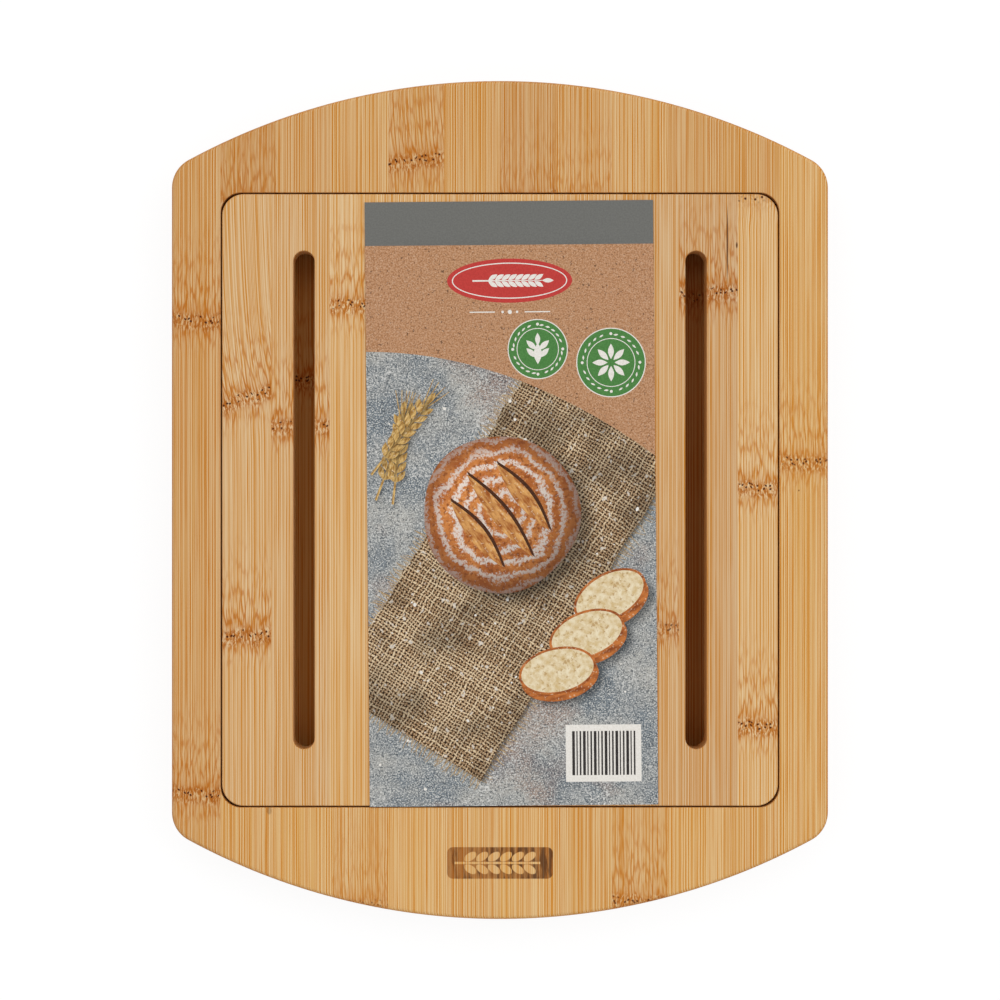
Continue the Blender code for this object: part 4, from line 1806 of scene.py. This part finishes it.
        for step in range(int(2 * long / self.thread)):
            along = self.thread * step - long + 0.6 * chance.random()
            fray((along, wide - 0.6), math.pi / 2)
            fray((along, 0.6 - wide), -math.pi / 2)
        for step in range(int(2 * wide / self.thread)):
            fray((0.6 - long, self.thread * step - wide), math.pi)
        runs = np.linspace(long, -long, 60)
        sides = [(run, wide + 0.5 * math.sin(0.21 * run) + 0.3 * math.sin(0.77 * run)) for run in runs]
        sides += [(run, -wide + 0.6 * math.sin(0.17 * run + 1.0)) for run in np.linspace(-long, long, 60)]
        return found + [Patch(Ink.SACKING, moved(sides, middle, lie), True, 1.6, middle, lie)]

    def bread(self) -> list[Patch]:
        """The round loaf with its three scores, and the slices beside it."""
        turns = [2 * math.pi * step / 96 for step in range(96)]
        swell = [1 + 0.016 * math.sin(3 * a + 1) + 0.01 * math.sin(5 * a + 2) for a in turns]
        crust = [(x * k, y * k) for (x, y), k in zip(oval(self.loaf_radius, self.loaf_radius, 96), swell)]
        found = [Patch(Ink.CRUST, moved(crust, self.loaf), True, 7.0, self.loaf)]
        turn = self.scores_turn
        for offset, length in self.scores:
            start = moved([(-length / 2, offset)], self.loaf, turn)[0]
            raised = moved([(0.6, 0.9)], start, turn)[0]
            found += [
                Patch(Ink.SHADE, moved(leaf(length, 9.4, 14), start, turn), True, 0.0, start, turn),
                Patch(Ink.TEAR, moved(leaf(length - 1.5, 7.8, 14), raised, turn), True, 0.0, start, turn),
            ]
        rind, crumb = oval(*self.slice_half), oval(*self.crumb_half)
        for (x, y), turn in self.slices:
            found += [
                Patch(Ink.RIND, moved(rind, (x + 1.2, y - 3.2), turn), True, 3.6, (x, y), turn),
                Patch(Ink.RIND, moved(rind, (x, y), turn), True, 0.0, (x + 30.0, y), turn),
                Patch(Ink.CRUMB, moved(crumb, (x, y), turn), True, 0.0, (x, y), turn),
            ]
        return found

    def label(self) -> list[Patch]:
        """The pale label with evenly repeating stripes."""
        found = [Patch(Ink.CREAM, rectangle(*self.label_box))]
        first, foot, head = self.stripes
        for step in range(6):
            for start, width in ((0.0, 1.3), (2.0, 0.6), (3.5, 0.8)):
                left = first + 5.1 * step + start
                found.append(Patch(Ink.BLACK, rectangle(left, foot, left + width, head)))
        return found

    def flour(self) -> list[Patch]:
        """Pinches of flour strewn over the picture."""
        chance = np.random.default_rng(self.seed + 1)
        found = []
        for _ in range(self.pinches):
            spot = (130.0 * chance.random() - 65.0, 190.0 * chance.random() - 140.0)
            size = 0.25 + 0.9 * chance.random() ** 3
            pinch = oval(size, size * (0.6 + 0.4 * chance.random()), 7)
            found.append(Patch(Ink.CREAM, moved(pinch, spot, 3 * chance.random()), True))
        return found

    def patches(self) -> list[Patch]:
        """Lays out the print.

        Returns:
            The patches from the lowest up, the bare card first and the picture's stone second.
        """
        w, head = self.half_width, self.half_length
        found = [
            Patch(Ink.KRAFT, rectangle(-w, -head, w, head)),
            Patch(Ink.STONE, self.panel()),
            Patch(Ink.SLATE, rectangle(-w, head - self.band, w, head)),
        ]
        found += self.badge() + self.roundels() + self.cloth() + self.flour()
        for base, turn in (((-64.0, 2.0), 1.2), ((-56.0, 0.0), 1.45), ((-66.0, 14.0), 0.9)):
            found += self.ear(base, turn, 7, 7.0, Ink.EAR, True)
        return found + self.bread() + self.label()


@dataclass(frozen=True)
class Card:
    """The loose card on the insert.

    Attributes:
        art: its print.
        thickness: the board's thickness, in metres.
        turn: how far it lies turned.
        droop: how much lower its rim lies than its middle.
        droop_reach: how far in from the rim it bends, in millimetres.
        grid: spacing of the extra points that carry printed shadows, in millimetres.
        shade_way: which way a printed shadow falls, as a share of its patch's lift.
        shade_depth: how dark it is, 0 to 1.
    """

    art: CardArt = field(default_factory=CardArt)
    thickness: float = 0.0005
    turn: float = math.radians(0.5)
    droop: float = 0.00024
    droop_reach: float = 30.0
    grid: float = 2.5
    shade_way: Point = (0.75, -0.55)
    shade_depth: float = 0.85

    def _divide(self, patches: Sequence[Patch]) -> tuple[np.ndarray, np.ndarray, np.ndarray]:
        """Divides the card into triangles that keep to the patches' outlines.

        Args:
            patches: the print.

        Returns:
            The points, the triangles, and for each triangle the topmost patch that it lies in.
        """
        art = self.art
        points: list[Point] = []
        edges: list[tuple[int, int]] = []
        for patch in patches:
            start, count = len(points), len(patch.outline)
            points += patch.outline
            edges += [(start + step, start + (step + 1) % count) for step in range(count)]
        ranks = [
            np.arange(-half, half + 0.01, 2 * half / round(2 * half / self.grid))
            for half in (art.half_width, art.half_length)
        ]
        points += [(float(x), float(y)) for x in ranks[0] for y in ranks[1]]
        divided = delaunay_2d_cdt([Vector(point) for point in points], edges, [], 0, 1e-4, False)
        spots = np.array([tuple(spot) for spot in divided[0]])
        triangles = np.array([face for face in divided[2] if len(face) == 3])
        middles = spots[triangles].mean(axis=1)
        kept = (abs(middles[:, 0]) < art.half_width) & (abs(middles[:, 1]) < art.half_length)
        triangles, middles = triangles[kept], middles[kept]
        a, b, c = (spots[triangles[:, corner]] for corner in range(3))
        turned = (b[:, 0] - a[:, 0]) * (c[:, 1] - a[:, 1]) < (b[:, 1] - a[:, 1]) * (c[:, 0] - a[:, 0])
        triangles[turned] = triangles[turned][:, ::-1]
        in_picture = within(middles, art.panel())
        top = np.zeros(len(triangles), dtype=int)
        for index, patch in enumerate(patches):
            ring = np.array(patch.outline)
            near = np.flatnonzero(((middles >= ring.min(axis=0)) & (middles <= ring.max(axis=0))).all(axis=1))
            hit = near[within(middles[near], patch.outline)]
            top[hit[in_picture[hit]] if patch.pictured else hit] = index
        return spots, triangles, top

    def _forms(self, patches: Sequence[Patch], corners: np.ndarray, top: np.ndarray) -> np.ndarray:
        """Gives each corner its place in its patch's own frame, and the printed shade that falls there.

        Args:
            patches: the print.
            corners: the triangles' corners, three to a triangle.
            top: the patch of each triangle.

        Returns:
            The "form" attribute's values, one row for each corner.
        """
        owner = np.repeat(top, 3)
        forms = np.zeros((len(corners), 3))
        centres = np.array([patch.centre for patch in patches])[owner]
        turns = np.array([patch.turn for patch in patches])[owner]
        offset = corners - centres
        forms[:, 0] = offset[:, 0] * np.cos(turns) + offset[:, 1] * np.sin(turns)
        forms[:, 1] = offset[:, 1] * np.cos(turns) - offset[:, 0] * np.sin(turns)
        pictured = np.array([patch.pictured or patch.ink is Ink.STONE for patch in patches])[owner]
        for index, patch in enumerate(patches):
            if not patch.lift:
                continue
            ring = np.array(patch.outline)
            soft = 0.6 * patch.lift + 0.5
            reach = 2 * patch.lift + soft
            near = ((corners >= ring.min(axis=0) - reach) & (corners <= ring.max(axis=0) + reach)).all(axis=1)
            rows = np.flatnonzero(near & pictured & (owner < index))
            gap = distance(corners[rows] - np.array(self.shade_way) * patch.lift, patch.outline)
            dark = np.clip((soft - gap) / (2 * soft), 0, 1)
            forms[rows, 2] = 1 - (1 - forms[rows, 2]) * (1 - self.shade_depth * dark * dark * (3 - 2 * dark))
        return forms

    def build(self) -> None:
        """Makes the card as one closed sheet and hands it to the frame."""
        art, patches = self.art, self.art.patches()
        spots, triangles, top = self._divide(patches)
        forms = self._forms(patches, spots[triangles].reshape(-1, 2), top)
        low, high = (Vector(corner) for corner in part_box("card"))
        middle = (low + high) / 2
        rim = np.minimum(art.half_width - abs(spots[:, 0]), art.half_length - abs(spots[:, 1]))
        share = np.clip(rim / self.droop_reach, 0, 1)
        level = high.z - self.droop * (1 - share * (2 - share))
        placed = np.array(moved([tuple(spot) for spot in spots * MM], (middle.x, middle.y), self.turn))
        upper = np.column_stack([placed, level])
        lower = np.column_stack([placed, level - self.thickness])
        sides = {(int(a), int(b)) for face in triangles for a, b in zip(face, np.roll(face, -1))}
        walls = [(b, a, a + len(spots), b + len(spots)) for a, b in sides if (b, a) not in sides]
        under = triangles[:, ::-1] + len(spots)
        faces = [tuple(int(corner) for corner in face) for face in [*triangles, *under]] + sorted(walls)
        mesh = bpy.data.meshes.new("card")
        mesh.from_pydata(np.vstack([upper, lower]).tolist(), [], faces)
        inks = list(Ink)
        for ink in inks:
            mesh.materials.append(ink.value.material())
        slots = np.zeros(len(faces), dtype=np.int32)
        slots[: len(top)] = np.array([inks.index(patch.ink) for patch in patches])[top]
        mesh.polygons.foreach_set("material_index", slots)
        mesh.polygons.foreach_set("use_smooth", np.ones(len(faces), dtype=bool))
        mesh.set_sharp_from_angle(angle=CREASE)
        told = mesh.attributes.new("form", "FLOAT_VECTOR", "CORNER")
        values = np.zeros((len(mesh.loops), 3))
        values[: len(forms)] = forms
        told.data.foreach_set("vector", values.ravel())
        mesh.update()
        settle(new_object("card_printed", mesh), Body.CARD, ["card"], Stock.CARD)


# ---- the studio


@dataclass(frozen=True)
class Studio:
    """A white table under soft light, seen from straight above.

    Attributes:
        stand_off: the camera's height above the board's face, in metres.
        left_of_middle: how far the camera stands left of the board's middle.
        span: what the picture spans at the board's face.
        face: level of the board's face.
        sky: strength of the softboxes round the sides.
        skyline: strength of the light from low down.
        zenith: share of the sky's strength that comes from straight above.
        slant: how much stronger the head's side is than the middle, and how much weaker the foot's.
        key: strength of the soft key light.
        key_from: the way that it comes from.
        key_spread: how wide it looks from the board, in radians.
        floor_half: half of the floor's extent.
        glow: how brightly the floor shines by itself for a camera.
        dim: how much light it gives back to a camera, which shows the board's shadow.
    """

    stand_off: float = 1.0
    left_of_middle: float = 0.025
    span: float = 0.4717
    face: float = 0.024
    sky: float = 1.2
    skyline: float = 0.78
    zenith: float = 0.0
    slant: float = 0.3
    key: float = 0.3
    key_from: tuple[float, float, float] = (1.0, 0.2, 0.85)
    key_spread: float = math.radians(30)
    floor_half: float = 4.0
    glow: float = 0.89
    dim: float = 0.14

    def build(self) -> None:
        """Sets up the camera, the lights, the world and the floor."""
        scene = bpy.context.scene
        scene.view_settings.view_transform = "Standard"
        lens = bpy.data.cameras.new("camera")
        lens.sensor_width = 36.0
        lens.lens = lens.sensor_width * self.stand_off / self.span
        lens.shift_x = self.left_of_middle / self.span
        scene.camera = new_object("camera", lens)
        scene.camera.location = (-self.left_of_middle, 0.0, self.face + self.stand_off)
        self._sun()
        self._world()
        self._floor()

    def _sun(self) -> None:
        """A broad key from the right, a little towards the head."""
        lamp = bpy.data.lights.new("key", "SUN")
        lamp.energy = self.key
        lamp.angle = self.key_spread
        key = new_object("key", lamp)
        key.rotation_euler = Vector(self.key_from).to_track_quat("Z", "Y").to_euler()

    def _seen(self, tree: bpy.types.NodeTree) -> bpy.types.Node:
        """One for what a camera sees, directly, in a mirror or through glass, and zero for light."""
        path = add(tree, "LightPath").outputs
        seen = add(tree, "Math", {0: path["Is Camera Ray"], 1: path["Is Glossy Ray"]}, operation="MAXIMUM")
        return add(tree, "Math", {0: seen, 1: path["Is Transmission Ray"]}, operation="MAXIMUM")

    def _world(self) -> None:
        """Light from softboxes all round and little from straight above; a camera and a mirror see it as white."""
        world = bpy.data.worlds.new("softboxes all round")
        world.use_nodes = True
        tree = world.node_tree
        tree.nodes.clear()
        way = add(tree, "SeparateXYZ", {0: add(tree, "TexCoord").outputs["Generated"]}).outputs
        level: Feed = 1.0
        for axis, start, end, low, high in (
            ("Z", 0.35, 0.75, self.skyline, self.sky),
            ("Z", 0.86, 0.98, 1.0, self.zenith),
            ("Y", -0.9, 0.9, 1.0 - self.slant, 1.0 + self.slant),
        ):
            share = add(tree, "MapRange", {
                "Value": way[axis], "From Min": start, "From Max": end, "To Min": low, "To Max": high,
            }, interpolation_type="SMOOTHSTEP")
            level = add(tree, "Math", {0: level, 1: share}, operation="MULTIPLY")
        strength = add(tree, "Mix", {"Factor": self._seen(tree), "A": level, "B": 1.0}, data_type="FLOAT")
        back = add(tree, "Background", {"Color": WHITE, "Strength": strength})
        add(tree, "OutputWorld", {"Surface": back})
        bpy.context.scene.world = world

    def _floor(self) -> None:
        """A pale floor that a camera sees as white, with the board's faint shadow kept."""
        build = bmesh.new()
        bmesh.ops.create_grid(build, x_segments=1, y_segments=1, size=self.floor_half)
        floor = new_object("floor", new_mesh("floor", build))
        floor.location.z = -0.2 * MM
        coat = Coat("white table")
        plain = coat.add("BsdfDiffuse", {"Color": linear("#E4E4E4")})
        glow = coat.add("Emission", {"Color": WHITE, "Strength": self.glow})
        dim = coat.add("BsdfDiffuse", {"Color": (self.dim, self.dim, self.dim, 1.0)})
        bright = coat.add("AddShader", {0: glow, 1: dim})
        surface = coat.add("MixShader", {0: self._seen(coat.material.node_tree), 1: plain, 2: bright})
        coat.add("OutputMaterial", {"Surface": surface})
        floor.data.materials.append(coat.material)


def main() -> None:
    """Builds the studio and dresses the board."""
    logging.basicConfig(level=logging.INFO, format="%(message)s")
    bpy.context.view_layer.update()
    Studio().build()
    shop = StripTree()
    Tray(shop).build()
    Insert(shop).build()
    Card().build()


if __name__ == "__main__":
    main()
